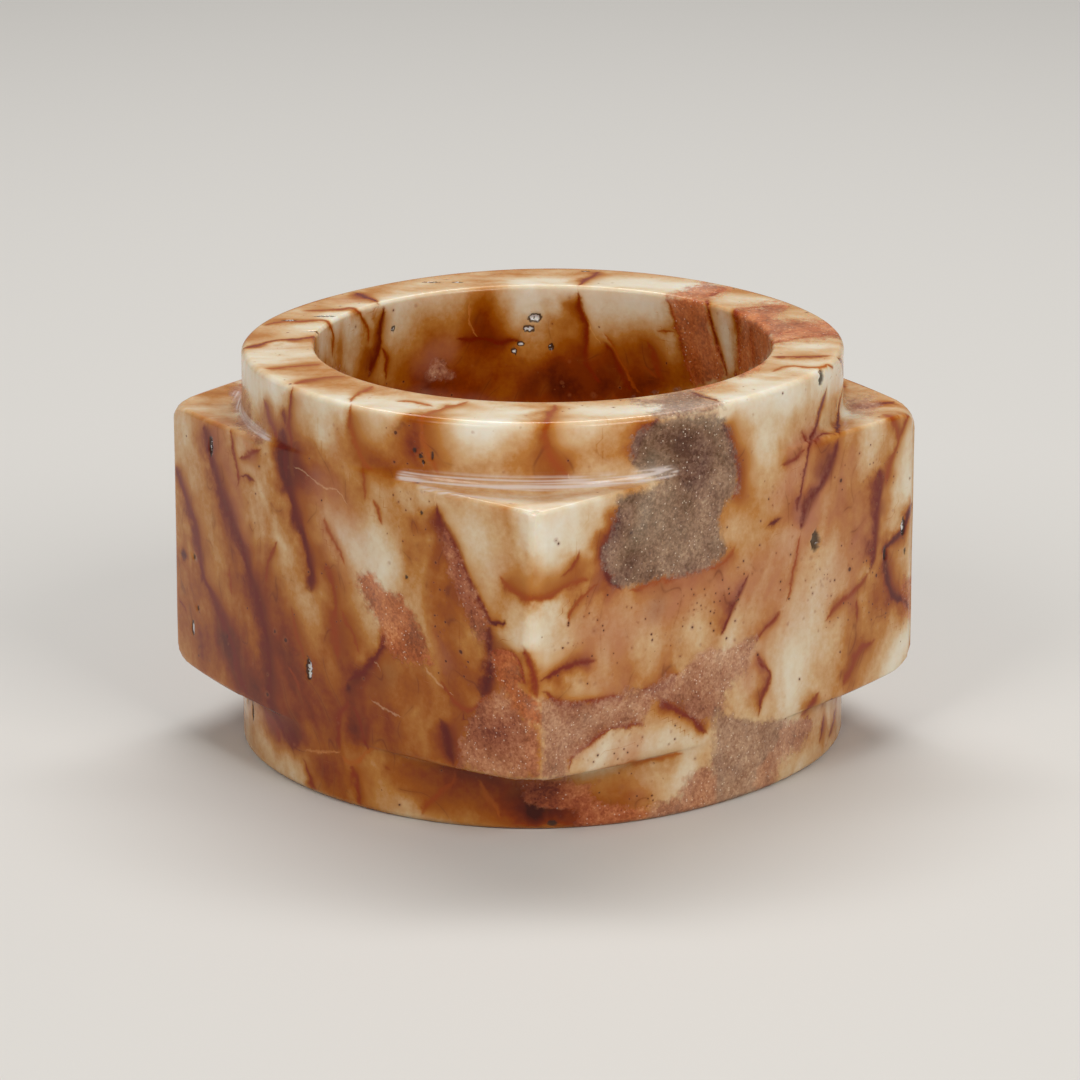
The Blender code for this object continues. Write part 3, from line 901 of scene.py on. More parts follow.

# %% [markdown]
# ## Stains, weathered patches and painted light
# Between the veins the colour changes slowly: cream where the jade is fresh, amber where
# iron has soaked in, plum and rust where it lies thick. A few strokes paint light and
# shade instead: a painted highlight along the coves and ledge edges, a painted highlight
# over the whitish stone of the near corner, and painted shade on the foot under the block.
# Those areas are strokes of a wide soft brush, each with a field that it adds to, a radius
# in pixels and a strength. The weathered, granular patches have firm edges, so they are
# outlines instead.

# %% Soft strokes
MM_PER_PIXEL = 1.0 / 7.4
STROKES = {
    "amber": [
        (34, 0.45, [(208, 440), (240, 500)]), (44, 0.5, [(290, 460), (350, 500)]),
        (24, 0.4, [(460, 500), (500, 512)]),
        (130, 0.30, [(190, 560), (280, 640), (400, 690)]),
        (80, 0.6, [(215, 650), (330, 720), (430, 700)]),
        (70, 0.5, [(400, 770), (500, 775), (600, 780)]), (60, 0.35, [(620, 670), (700, 700)]),
        (90, 0.28, [(640, 600), (740, 570)]), (60, 0.28, [(700, 500), (780, 490)]),
        (40, 0.3, [(330, 430), (300, 520)]), (60, 0.3, [(600, 650), (700, 660)]),
        (64, 0.75, [(262, 600), (300, 660), (318, 715)]), (40, 0.6, [(226, 520), (246, 640)]),
        (34, 0.75, [(345, 640), (350, 700)]), (30, 0.7, [(355, 454), (392, 468)]),
        (26, 0.85, [(416, 425), (406, 462)]), (24, 0.2, [(500, 550), (510, 590)]),
        (30, 0.75, [(430, 610), (468, 690)]), (22, 0.7, [(515, 458), (560, 460)]),
        (16, 0.5, [(606, 446), (590, 452)]), (34, 0.5, [(390, 735), (430, 740)]),
        (22, 0.7, [(318, 775), (345, 790)]), (30, 0.45, [(390, 790), (500, 805)]),
        (56, 0.6, [(400, 378), (560, 382), (690, 376)]), (30, 0.8, [(480, 305), (490, 340)]),
        (40, 0.45, [(420, 330), (440, 350)]), (26, 0.6, [(340, 345)]),
        (34, 0.7, [(872, 612), (885, 575)]), (20, 0.3, [(560, 574), (590, 590)]),
        (34, 0.55, [(650, 330), (640, 380)]), (18, 0.45, [(270, 320), (310, 318)]),
        (30, 0.45, [(700, 580), (740, 545)]), (26, 0.5, [(852, 640), (840, 690)]),
        (34, 0.8, [(520, 805), (590, 812)]), (30, 0.45, [(400, 520), (420, 590)]),
        (30, 0.4, [(190, 540), (185, 620)]), (24, 0.5, [(640, 790), (610, 790)]),
        (40, 0.35, [(840, 450), (850, 560)]), (30, 0.6, [(500, 700), (520, 760)]),
        (22, 0.6, [(268, 412), (285, 430)]), (20, 0.5, [(330, 445), (300, 450)]),
    ],
    "cream": [
        (34, 0.9, [(474, 520), (492, 570)]),
        (30, 0.8, [(228, 384), (250, 360), (330, 320), (420, 296), (520, 284), (620, 281), (700, 289)]),
        (30, 0.8, [(780, 305), (840, 338), (846, 362), (800, 386), (720, 402), (620, 411), (500, 412),
                   (400, 406), (320, 396), (250, 386)]),
        # The two strokes on the near corner, on its top and down its upright edge, are whitish stone and
        # partly a painted highlight, the sheen the corner catches.
        (44, 1.0, [(532, 515), (560, 545)]), (34, 1.0, [(545, 610), (541, 655)]),
        (26, 1.0, [(450, 432), (525, 430)]), (26, 1.0, [(585, 430), (570, 425)]),
        (24, 0.9, [(320, 405), (324, 440)]), (24, 0.9, [(390, 410), (372, 408)]),
        (22, 0.45, [(752, 475), (765, 440)]), (52, 0.45, [(805, 620), (785, 690)]),
        (34, 0.45, [(825, 590), (840, 560)]), (26, 1.0, [(890, 665), (906, 640)]),
        (24, 0.7, [(903, 440), (905, 490)]), (22, 0.6, [(270, 755), (290, 770)]),
        (24, 0.5, [(380, 792), (410, 806)]), (20, 0.5, [(600, 757), (650, 738), (700, 738)]),
        (13, 1.0, [(682, 772), (672, 798)]), (15, 0.9, [(790, 774), (806, 755)]),
        (20, 0.9, [(258, 362), (305, 353)]), (20, 0.9, [(330, 398), (385, 402)]),
        (18, 1.0, [(470, 411), (610, 409)]), (30, 1.0, [(755, 390), (810, 395)]),
        (22, 0.9, [(640, 282), (700, 288)]), (34, 1.0, [(515, 296), (565, 302)]),
        (32, 1.0, [(605, 300), (660, 310)]), (10, 0.9, [(722, 320), (730, 358)]),
        (26, 0.7, [(870, 430), (868, 460)]), (16, 0.9, [(735, 298), (790, 302)]),
        (14, 0.9, [(800, 348), (825, 346)]), (11, 0.7, [(795, 316), (808, 317)]),
        (50, 0.55, [(330, 520), (375, 560)]), (26, 0.3, [(290, 560), (300, 600)]),
        (18, 0.4, [(402, 705), (430, 740)]), (20, 0.6, [(350, 330)]),
        (40, 0.2, [(590, 640), (640, 650)]), (26, 0.8, [(470, 500), (600, 505)]),
        (30, 0.4, [(225, 470), (235, 520)]), (24, 0.6, [(400, 330), (430, 310)]),
        (26, 0.5, [(840, 410), (880, 425)]), (20, 0.5, [(395, 290), (420, 284)]),
        (16, 0.9, [(240, 350), (246, 374)]), (12, 0.9, [(275, 389), (300, 396), (330, 400)]),
        (12, 0.8, [(500, 283), (570, 280)]), (10, 0.8, [(700, 290), (728, 297)]),
        (14, 0.9, [(400, 398), (500, 408), (600, 406)]), (12, 0.8, [(745, 382), (800, 366)]),
    ],
    "rust": [
        (14, 0.7, [(300, 745), (290, 730)]), (18, 0.8, [(320, 765), (340, 770)]),
        (22, 0.8, [(480, 740), (510, 720)]), (12, 0.9, [(536, 730), (536, 770)]),
        (14, 0.8, [(530, 815), (545, 805)]), (16, 0.8, [(608, 812), (630, 812)]),
        (14, 0.8, [(895, 590), (905, 600)]), (14, 0.7, [(750, 505), (760, 525)]),
        (26, 0.6, [(560, 385), (610, 390)]), (14, 0.7, [(425, 470), (455, 475)]),
        (14, 0.8, [(610, 395), (625, 395)]), (20, 0.7, [(355, 735), (375, 720)]),
        (16, 0.6, [(300, 475), (315, 500)]), (16, 0.5, [(478, 280), (500, 283)]),
        (10, 0.7, [(600, 278), (625, 275)]), (24, 0.7, [(440, 560), (455, 600)]),
        (14, 0.7, [(560, 375), (530, 390)]), (12, 0.6, [(372, 365), (360, 378)]),
    ],
    "plum": [
        (16, 0.7, [(297, 450), (300, 480)]), (24, 0.7, [(375, 690), (390, 670)]),
        (26, 0.8, [(660, 595), (655, 612)]), (20, 0.9, [(490, 640), (498, 655)]),
        (22, 0.7, [(470, 720), (500, 740)]), (16, 0.8, [(818, 480), (828, 455)]),
        (12, 0.6, [(715, 625), (720, 600)]), (10, 0.8, [(540, 471), (575, 478)]),
        (12, 0.7, [(735, 475), (728, 450)]), (16, 0.6, [(250, 438), (262, 444)]),
        (14, 0.8, [(875, 500), (873, 530)]), (16, 0.6, [(430, 520), (445, 545)]),
        (10, 0.7, [(650, 695)]), (12, 0.6, [(540, 790), (560, 785)]),
        (14, 0.7, [(375, 345), (368, 360)]), (12, 0.6, [(605, 285), (590, 275)]),
    ],
    "rosy": [
        (110, 0.4, [(620, 600), (760, 640), (850, 540)]), (40, 0.5, [(560, 740), (640, 750)]),
        (60, 0.5, [(330, 500), (360, 560)]),
        (30, 0.9, [(662, 590), (655, 615)]),
        (26, 0.9, [(800, 470), (775, 500)]), (18, 0.7, [(820, 430), (790, 450)]),
        (60, 0.4, [(215, 425), (250, 530)]), (80, 0.6, [(600, 640), (660, 600), (760, 580)]),
        (50, 0.6, [(790, 540), (840, 470)]),
        (16, 0.8, [(250, 470), (245, 440)]), (20, 0.7, [(590, 685), (620, 690)]),
        (14, 0.8, [(419, 612), (445, 670)]), (22, 0.7, [(745, 690), (750, 660)]),
        (16, 0.6, [(330, 430), (340, 460)]), (20, 0.6, [(645, 680), (660, 650)]),
        (14, 0.7, [(300, 395), (300, 420)]), (20, 0.6, [(415, 365), (450, 350)]),
        (14, 0.6, [(500, 560), (490, 580)]), (16, 0.6, [(640, 800), (645, 770)]),
        (16, 0.7, [(205, 470), (195, 440)]), (26, 0.5, [(700, 600), (730, 640)]),
        (12, 0.7, [(335, 300), (365, 302)]), (14, 0.6, [(290, 347), (260, 350)]),
    ],
    "deep": [
        # The short dark stroke at x 500 to 540 below paints the shade on the foot just under the block;
        # the wide one along the foot here darkens the foot towards the block. The strokes low in the bore
        # make it darker towards its bottom.
        (40, 0.4, [(222, 620), (262, 705)]), (50, 0.4, [(400, 780), (560, 790)]),
        (40, 0.35, [(180, 560), (200, 640)]), (40, 0.4, [(520, 370), (640, 350)]),
        (36, 0.6, [(410, 385), (480, 394), (560, 396), (640, 390), (680, 382)]),
        # Painted shade on the foot under the block.
        (18, 0.8, [(540, 790), (500, 785)]),
        (46, 0.4, [(285, 660), (300, 700)]), (26, 0.5, [(470, 715), (500, 740)]),
        (16, 0.6, [(590, 360), (600, 380)]), (12, 0.6, [(348, 690)]),
        (20, 0.5, [(458, 745), (450, 760)]), (10, 0.8, [(452, 776)]),
        (14, 0.6, [(366, 368), (372, 350)]), (30, 0.4, [(475, 350), (500, 365)]),
        (24, 0.9, [(662, 438), (700, 446), (692, 474)]), (14, 0.7, [(620, 560), (640, 575)]),
        (16, 0.6, [(668, 690), (690, 715)]),
    ],
    # Painted highlight: pale bands along the coves and the ledge edges, where they catch the light.
    "cove_highlight": [
        (9, 1.2, [(404, 477), (470, 482), (540, 484), (610, 481), (645, 476), (672, 471)]),
        (7, 0.9, [(236, 392), (241, 410), (252, 425), (268, 439)]),
        (5, 0.5, [(842, 415), (848, 430)]), (8, 0.8, [(424, 487), (470, 496), (510, 500)]),
    ],
    "specks": [
        (26, 0.9, [(411, 430), (418, 470)]), (26, 0.9, [(412, 500), (425, 560)]),
        (24, 0.9, [(440, 600), (460, 670)]), (40, 0.8, [(690, 610), (740, 600)]),
        (44, 0.7, [(800, 580), (850, 600)]), (26, 0.8, [(640, 610), (665, 645)]),
        (40, 0.6, [(600, 650), (590, 620)]), (30, 0.8, [(640, 735), (610, 755)]),
        (34, 0.8, [(620, 780), (640, 795)]), (34, 0.8, [(870, 560), (880, 610)]),
        (20, 0.6, [(790, 500), (775, 490)]), (30, 0.6, [(890, 470), (840, 480)]),
        (20, 0.5, [(580, 690), (610, 680)]), (24, 0.5, [(680, 720), (670, 730)]),
    ],
}


def brushed(strokes):
    """The strongest stroke at each vertex, full on its line and gone at its radius."""
    field = np.zeros(len(places))
    for radius, strength, pixels in strokes:
        size = radius * MM_PER_PIXEL
        pixels = pixels if len(pixels) > 1 else [pixels[0], (pixels[0][0] + 1, pixels[0][1])]
        path = trace(pixels)
        if len(path) < 2:
            print("a stroke misses the stone at", pixels)
            continue
        near, offset, _ = measure(path, size * MM)
        share = np.clip(1.0 - np.abs(offset) / size, 0.0, 1.0)
        share = share * share * (3.0 - 2.0 * share)
        field[near] = np.maximum(field[near], strength * share)
    return field


fields = {name: brushed(strokes) for name, strokes in STROKES.items()}
UNEVENNESS = 0.4
STROKE_BLUR = {"cove_highlight": 1, "specks": 4}
USUAL_BLUR = 8
patchiness = noise_at(0.0045, 11.0) + 0.5 * noise_at(0.0022, 12.0)
for name in fields:
    uneven_field = fields[name] * (1.0 + UNEVENNESS * patchiness)
    fields[name] = blurred(uneven_field, STROKE_BLUR.get(name, USUAL_BLUR))
for name, field in fields.items():
    print("stain", name, "covers", round(100 * float((field > 0.3).mean()), 1), "% of the vertices")

# %% Firm outlines of the granular patches
GREY, PINK, BROWN = 0.0, 0.5, 1.0
GRAIN_PATCHES = {  # tone of the grains, then the outline
    "grey_patch": (GREY, [
        (633, 438), (650, 424), (665, 419), (700, 417), (722, 419), (730, 440), (737, 465),
        (738, 492), (722, 503), (716, 520), (722, 538), (728, 548), (720, 561), (700, 570),
        (680, 575), (655, 578), (632, 588), (614, 582), (606, 566), (605, 548), (615, 534),
        (618, 515), (620, 500), (645, 492), (660, 482), (640, 476), (632, 460)]),
    "grey_rim": (0.2, [
        (632, 402), (660, 396), (690, 390), (705, 397), (724, 403), (704, 413), (665, 418),
        (645, 415), (662, 407)]),
    "first_strip": (BROWN, [
        (669, 298), (705, 299), (712, 330), (721, 360), (727, 379), (694, 390), (683, 350),
        (675, 318)]),
    "first_strip_rim": (0.85, [(668, 297), (690, 287), (706, 281), (728, 287), (706, 299)]),
    "second_strip": (BROWN, [(739, 309), (765, 314), (772, 330), (772, 346), (762, 362), (740, 377)]),
    "second_strip_rim": (0.8, [
        (738, 309), (765, 306), (785, 306), (772, 318), (785, 323), (835, 322), (843, 334),
        (800, 340), (772, 344), (765, 320)]),
    "rust_polygon": (0.9, [
        (358, 575), (372, 572), (385, 590), (400, 596), (412, 612), (426, 640), (432, 664),
        (405, 660), (395, 655), (384, 640), (370, 612), (360, 590)]),
    "rust_bubble": (0.95, [
        (490, 655), (512, 652), (522, 672), (522, 690), (541, 700), (541, 728), (526, 724),
        (510, 702), (498, 674)]),
    "near_lower": (0.7, [
        (462, 745), (480, 700), (505, 690), (528, 722), (541, 730), (541, 778), (520, 778),
        (462, 766)]),
    "near_band": (0.75, [
        (441, 528), (456, 555), (470, 590), (482, 612), (486, 640), (478, 640), (464, 600),
        (450, 565)]),
    "low_pink": (0.45, [
        (541, 697), (560, 704), (600, 700), (640, 700), (640, 722), (600, 732), (585, 745),
        (570, 760), (566, 776), (541, 779)]),
    "middle_pink": (0.5, [
        (625, 690), (650, 688), (680, 670), (700, 648), (730, 645), (757, 638), (745, 668),
        (728, 690), (722, 712), (700, 722), (680, 706), (655, 698), (640, 722), (625, 722)]),
    "low_grey": (0.25, [
        (702, 655), (738, 650), (742, 668), (726, 688), (722, 714), (760, 724), (790, 720),
        (788, 745), (765, 775), (762, 792), (710, 806), (712, 760), (716, 735), (706, 700)]),
    "right_low_pink": (0.6, [
        (760, 725), (800, 718), (812, 722), (798, 745), (780, 762), (768, 792), (740, 795),
        (745, 750)]),
    "foot_pink": (0.65, [
        (690, 772), (715, 765), (720, 808), (680, 816), (650, 820), (655, 806), (680, 800)]),
    "foot_orange": (0.85, [(585, 800), (610, 808), (645, 812), (640, 825), (600, 830), (580, 825)]),
    "foot_grey": (0.85, [(525, 786), (560, 782), (590, 788), (585, 806), (545, 803), (528, 798)]),
    "far_ledge": (0.4, [(848, 403), (868, 398), (880, 404), (870, 412), (850, 414)]),
    "right_edge": (0.8, [(905, 580), (914, 575), (915, 625), (908, 618)]),
    "star": (0.6, [(430, 376), (436, 365), (441, 363), (445, 371), (452, 376), (440, 378)]),
    "left_ledge": (0.45, [(234, 392), (242, 388), (252, 420), (268, 438), (262, 442), (240, 425)]),
}
EDGE_SOFTNESS = 9.0


def outlined(outline):
    """How far inside an outline each seen vertex lies: 0 outside, 0.5 on it, 1 inside."""
    offset = np.full(len(places), np.inf)
    inside = np.zeros(len(places), dtype=bool)
    for (x0, y0), (x1, y1) in zip(outline, outline[1:] + outline[:1]):
        dx, dy = x1 - x0, y1 - y0
        along = ((pixel_x - x0) * dx + (pixel_y - y0) * dy) / (dx * dx + dy * dy)
        share = np.clip(along, 0.0, 1.0)
        distance = np.hypot(pixel_x - x0 - share * dx, pixel_y - y0 - share * dy)
        offset = np.minimum(offset, distance)
        crosses = (y0 > pixel_y) != (y1 > pixel_y)
        if dy:
            inside ^= crosses & (pixel_x < x0 + (pixel_y - y0) / dy * dx)
    signed = np.where(inside, offset, -offset)
    return np.clip(0.5 + signed / (2.0 * EDGE_SOFTNESS), 0.0, 1.0) * seen


grain = np.zeros(len(places))
grain_tone = np.full(len(places), 0.5)
for name, (tone, outline) in GRAIN_PATCHES.items():
    inside = outlined(outline)
    stronger = inside > grain
    grain_tone = np.where(stronger & (inside > 0.0), tone, grain_tone)
    grain = np.maximum(grain, inside)
print("granular share of the vertices:", round(float((grain > 0.5).mean()), 3))


# %% [markdown]
# On the unseen sides the same stains come from slow noise. It changes over a centimetre
# or two, so the vertices can hold it, and the material has less to work out. They also
# hold the leaning coordinates: a frame turned to the sheets of iron, bent a little, and
# shortened along the sheets, in which any noise comes out as long leaning wisps.

# %% Slow noise on the vertices
HIDDEN_STAINS = {  # size of the patches in metres, where the noise begins to show and is full
    "amber": (0.018, 0.00, 0.40), "cream": (0.015, 0.05, 0.45), "rust": (0.016, 0.20, 0.60),
    "plum": (0.014, 0.22, 0.60), "rosy": (0.020, 0.15, 0.60), "specks": (0.018, 0.0, 0.4),
    "deep": (0.020, 0.4, 0.8),
}
for seed, (name, (size, begins, full)) in enumerate(HIDDEN_STAINS.items()):
    share = np.clip((noise_at(size, 5.0 + seed) - begins) / (full - begins), 0.0, 1.0)
    fields[name] = np.maximum(fields[name], share * unseen)
HIDDEN_GRAIN_SIZE = 0.019
HIDDEN_GRAIN_EDGE = 0.34
HIDDEN_TONE_SIZE = 0.03
rising = 2.5 * (noise_at(HIDDEN_GRAIN_SIZE, 21.0) - HIDDEN_GRAIN_EDGE)
hidden_grain = np.clip(0.5 + rising, 0.0, 1.0) * unseen
hidden_tone = np.clip(0.5 + 1.2 * noise_at(HIDDEN_TONE_SIZE, 22.0), 0.0, 1.0)
grain_tone = np.where(hidden_grain > grain, hidden_tone, grain_tone)
grain = np.maximum(grain, hidden_grain)

SHEET_AXES = np.array([SHEET_NORMAL, [0.72, 0.69, 0.0], [-0.15, 0.16, 0.975]])
SHEET_STRETCH = np.array([1.0, 0.42, 0.34])
BENDING = 3.6
bending = np.column_stack([noise_at(0.012, 31.0 + axis) for axis in range(3)])
leaning_place = (places / MM + BENDING * bending) @ SHEET_AXES.T * SHEET_STRETCH

store("leaning", *leaning_place.T)
store("stain", fields["amber"], fields["cream"], fields["rust"])
store("weathering", grain, grain_tone, fields["plum"])
store("marks", fields["specks"], fields["deep"], fields["rosy"])
# The painted highlight of the coves goes to the vertices as well.
store("cove_highlight", fields["cove_highlight"])
print("attributes on the stone:", len(mesh.attributes))

# %% [markdown]
# ## Laying nodes
# A material made in code is a long list of nodes and links. A few helpers keep it
# readable: each makes one node, feeds it sockets or plain values, and hands back the
# socket to go on with.


# %% Node helpers
def feed(tree, socket, value):
    """Link a socket, or set a plain value."""
    if isinstance(value, bpy.types.NodeSocket):
        tree.links.new(value, socket)
    else:
        socket.default_value = value


def arith(tree, operation, *values, clamp=False):
    """One Math node."""
    node = tree.nodes.new("ShaderNodeMath")
    node.operation = operation
    node.use_clamp = clamp
    for socket, value in zip(node.inputs, values):
        feed(tree, socket, value)
    return node.outputs[0]


def plus(tree, *values):
    """The sum of sockets and plain values."""
    total = values[0]
    for value in values[1:]:
        total = arith(tree, "ADD", total, value)
    return total


def times(tree, *values):
    """The product of sockets and plain values."""
    product = values[0]
    for value in values[1:]:
        product = arith(tree, "MULTIPLY", product, value)
    return product


def minus(tree, first, second):
    """One value less another."""
    return arith(tree, "SUBTRACT", first, second)


def inverse(tree, share):
    """What a share leaves of 1."""
    return arith(tree, "SUBTRACT", 1.0, share)


def vector_math(tree, operation, first, second=None, scale=None):
    """One Vector Math node."""
    node = tree.nodes.new("ShaderNodeVectorMath")
    node.operation = operation
    feed(tree, node.inputs[0], first)
    if second is not None:
        feed(tree, node.inputs[1], second)
    if scale is not None:
        feed(tree, node.inputs["Scale"], scale)
    return node.outputs["Value" if operation == "LENGTH" else "Vector"]


def blend(tree, share, first, second):
    """Mix two colours."""
    node = tree.nodes.new("ShaderNodeMix")
    node.data_type = "RGBA"
    feed(tree, node.inputs[0], share)
    feed(tree, node.inputs[6], first)
    feed(tree, node.inputs[7], second)
    return node.outputs[2]


def fade(tree, value, low, high, to_low=0.0, to_high=1.0):
    """Go softly from one value to another while the input goes from low to high."""
    node = tree.nodes.new("ShaderNodeMapRange")
    node.interpolation_type = "SMOOTHSTEP"
    for socket, given in zip(node.inputs, (value, low, high, to_low, to_high)):
        feed(tree, socket, given)
    return node.outputs[0]


def cloud(tree, place, scale, detail, roughness=0.55):
    """One Noise Texture, its scale in features a millimetre."""
    node = tree.nodes.new("ShaderNodeTexNoise")
    feed(tree, node.inputs["Vector"], place)
    node.inputs["Scale"].default_value = scale
    node.inputs["Detail"].default_value = detail
    node.inputs["Roughness"].default_value = roughness
    return node.outputs["Fac"]


def cells(tree, place, scale):
    """One Voronoi Texture: the distance from each cell's middle, and two random values a cell."""
    node = tree.nodes.new("ShaderNodeTexVoronoi")
    feed(tree, node.inputs["Vector"], place)
    node.inputs["Scale"].default_value = scale
    split = tree.nodes.new("ShaderNodeSeparateColor")
    tree.links.new(node.outputs["Color"], split.inputs[0])
    return node.outputs["Distance"], split.outputs[0], split.outputs[1]


def stored(tree, name, kind="Vector"):
    """What the vertices hold under a name: a Vector, or with Fac one value."""
    node = tree.nodes.new("ShaderNodeAttribute")
    node.attribute_name = name
    return node.outputs[kind]


def attribute(tree, name):
    """The three values of a vector attribute."""
    split = tree.nodes.new("ShaderNodeSeparateXYZ")
    tree.links.new(stored(tree, name), split.inputs[0])
    return split.outputs[0], split.outputs[1], split.outputs[2]


def ink(red, green, blue):
    """A colour as seen on a screen, 0 to 255, turned into the linear values of a node."""
    return tuple((c / 255.0) ** 2.2 for c in (red, green, blue)) + (1.0,)


def ramp(tree, value, *stops):
    """A colour ramp with (position, screen colour) stops."""
    node = tree.nodes.new("ShaderNodeValToRGB")
    feed(tree, node.inputs[0], value)
    elements = node.color_ramp.elements
    while len(elements) < len(stops):
        elements.new(0.5)
    for element, (position, colour) in zip(elements, stops):
        element.position = position
        element.color = ink(*colour)
    return node.outputs[0]


def group(name, inputs, outputs):
    """Start a shader node group with named sockets, and give its tree and its two ends."""
    tree = bpy.data.node_groups.new(name, "ShaderNodeTree")
    for label, kind, value in inputs:
        socket = tree.interface.new_socket(label, in_out="INPUT", socket_type=kind)
        if value is not None:
            socket.default_value = value
    for label, kind in outputs:
        tree.interface.new_socket(label, in_out="OUTPUT", socket_type=kind)
    start = tree.nodes.new("NodeGroupInput").outputs
    end = tree.nodes.new("NodeGroupOutput").inputs
    return tree, start, end


def use(tree, shared, **values):
    """Place a node group in a material with its own values."""
    node = tree.nodes.new("ShaderNodeGroup")
    node.node_tree = shared
    for label, value in values.items():
        feed(tree, node.inputs[label], value)
    return node.outputs


NUMBER, COLOUR = "NodeSocketFloat", "NodeSocketColor"

# %% [markdown]
# ## A vein in the material
# One group reads one sheet of veins. The core is the thin line itself. The glow is the
# iron that has crept into the stone beside it, with a width of its own on each side. The
# group draws no colours. It raises the amount of iron towards what the vein holds, and
# that amount is turned into a colour later. Noise shifts the distance a little, so that no
# vein is a ruled line.

# %% The vein group
mineral_vein, start, end = group(
    "mineral_vein",
    [
        ("Offset", NUMBER, 9.0), ("Strength", NUMBER, 0.0), ("Tone", NUMBER, 0.5),
        ("Core", NUMBER, 0.2), ("Right", NUMBER, 0.5), ("Left", NUMBER, 0.5),
        ("Waver", NUMBER, 0.5), ("Ragged", NUMBER, 0.5), ("Iron", NUMBER, 0.3),
    ],
    [("Core mask", NUMBER), ("Iron", NUMBER), ("Plum", NUMBER)],
)
tree = mineral_vein
waver_shift = times(tree, minus(tree, start["Waver"], 0.5), 0.5)
ragged_shift = times(tree, minus(tree, start["Ragged"], 0.5), 0.24)
shifted = plus(tree, start["Offset"], waver_shift, ragged_shift)
distance = arith(tree, "ABSOLUTE", shifted)
core_width = times(tree, start["Core"], plus(tree, 0.3, start["Waver"]), start["Strength"])
blur = fade(tree, start["Tone"], -0.3, 0.1, 0.06, 0.20)
outer = plus(tree, times(tree, core_width, 2.0), blur)
core = inverse(tree, fade(tree, distance, 0.0, outer))
solid = plus(tree, 0.55, times(tree, start["Ragged"], 0.45))
solid = times(tree, solid, fade(tree, start["Tone"], -0.4, 0.1, 0.45, 1.0))
core = times(tree, core, solid, fade(tree, start["Strength"], 0.0, 0.5))
on_right = arith(tree, "GREATER_THAN", shifted, 0.0)
to_right = times(tree, start["Right"], on_right)
to_left = times(tree, start["Left"], inverse(tree, on_right))
glow_width = times(tree, plus(tree, to_right, to_left), plus(tree, 0.7, times(tree, start["Waver"], 0.8)))
faded = arith(tree, "DIVIDE", distance, plus(tree, glow_width, 0.02))
glow = arith(tree, "EXPONENT", times(tree, faded, -1.0))
glow = times(tree, glow, start["Strength"])
full_iron = plus(tree, 0.52, times(tree, start["Tone"], 0.44))
lacking = arith(tree, "MAXIMUM", minus(tree, full_iron, start["Iron"]), 0.0)
soaked = times(tree, glow, lacking, fade(tree, start["Tone"], -0.35, -0.1))
feed(tree, end["Core mask"], core)
feed(tree, end["Iron"], plus(tree, start["Iron"], soaked))
feed(tree, end["Plum"], times(tree, glow, fade(tree, start["Tone"], 0.72, 1.0)))
print("nodes in the vein group:", len(tree.nodes))

# %% [markdown]
# ## The weathered grain and the specks
# Where the jade has weathered it turns granular: small angular grains of different
# browns, some of which glint. The cells of a Voronoi pattern and two noises make the
# grains. The specks are single cells of a wider pattern, shown where the brush put them.

# %% The grain group
weathered_grain, start, end = group(
    "weathered_grain",
    [("Place", "NodeSocketVector", None), ("Tone", NUMBER, 0.5), ("Dark", NUMBER, 0.0)],
    [("Colour", COLOUR)],
)
tree = weathered_grain
grain_distance, grain_shade, grain_luck = cells(tree, start["Place"], 3.4)
fine_grain = cloud(tree, start["Place"], 1.4, 2.0, 0.75)
slow_grain = cloud(tree, start["Place"], 0.22, 1.0, 0.6)
mixture = plus(tree, times(tree, grain_shade, 0.22), times(tree, fine_grain, 0.62))
mixture = plus(tree, mixture, times(tree, minus(tree, slow_grain, 0.5), 0.75))
mixture = minus(tree, mixture, times(tree, start["Dark"], 0.3))
grey = ramp(
    tree, mixture,
    (0.10, (56, 42, 38)), (0.34, (112, 90, 78)), (0.58, (156, 130, 110)), (0.85, (208, 184, 156)))
pink = ramp(
    tree, mixture,
    (0.12, (112, 60, 46)), (0.36, (158, 104, 80)), (0.58, (190, 142, 112)), (0.85, (224, 190, 160)))
brown = ramp(
    tree, mixture,
    (0.12, (112, 40, 18)), (0.36, (166, 78, 36)), (0.58, (198, 112, 62)), (0.85, (228, 162, 108)))
lower_half = blend(tree, fade(tree, start["Tone"], GREY, PINK), grey, pink)
toned = blend(tree, fade(tree, start["Tone"], PINK, BROWN), lower_half, brown)
bright = arith(tree, "GREATER_THAN", grain_luck, 0.93)
glint = times(tree, arith(tree, "LESS_THAN", grain_distance, 0.35), bright)
feed(tree, end["Colour"], blend(tree, times(tree, glint, 0.6), toned, ink(240, 226, 208)))
print("nodes in the grain group:", len(tree.nodes))

# %% The speck group
iron_specks, start, end = group(
    "iron_specks",
    [("Stone", COLOUR, None), ("Place", "NodeSocketVector", None), ("Amount", NUMBER, 0.0),
     ("Scale", NUMBER, 0.5), ("Size", NUMBER, 0.2), ("Share", NUMBER, 0.5)],
    [("Stone", COLOUR)],
)
tree = iron_specks
scaled = vector_math(tree, "SCALE", start["Place"], scale=start["Scale"])
dot_distance, dot_share, dot_luck = cells(tree, scaled, 1.0)
dot_size = times(tree, start["Size"], plus(tree, 0.35, dot_share))
kept = arith(tree, "LESS_THAN", dot_luck, times(tree, start["Share"], start["Amount"]))
dots = inverse(tree, fade(tree, dot_distance, times(tree, dot_size, 0.6), dot_size))
halo = inverse(tree, fade(tree, dot_distance, times(tree, dot_size, 0.8), times(tree, dot_size, 2.4)))
haloed = blend(tree, times(tree, halo, kept, 0.4), start["Stone"], ink(156, 88, 50))
feed(tree, end["Stone"], blend(tree, times(tree, dots, kept, 0.88), haloed, ink(72, 34, 22)))
print("nodes in the speck group:", len(tree.nodes))

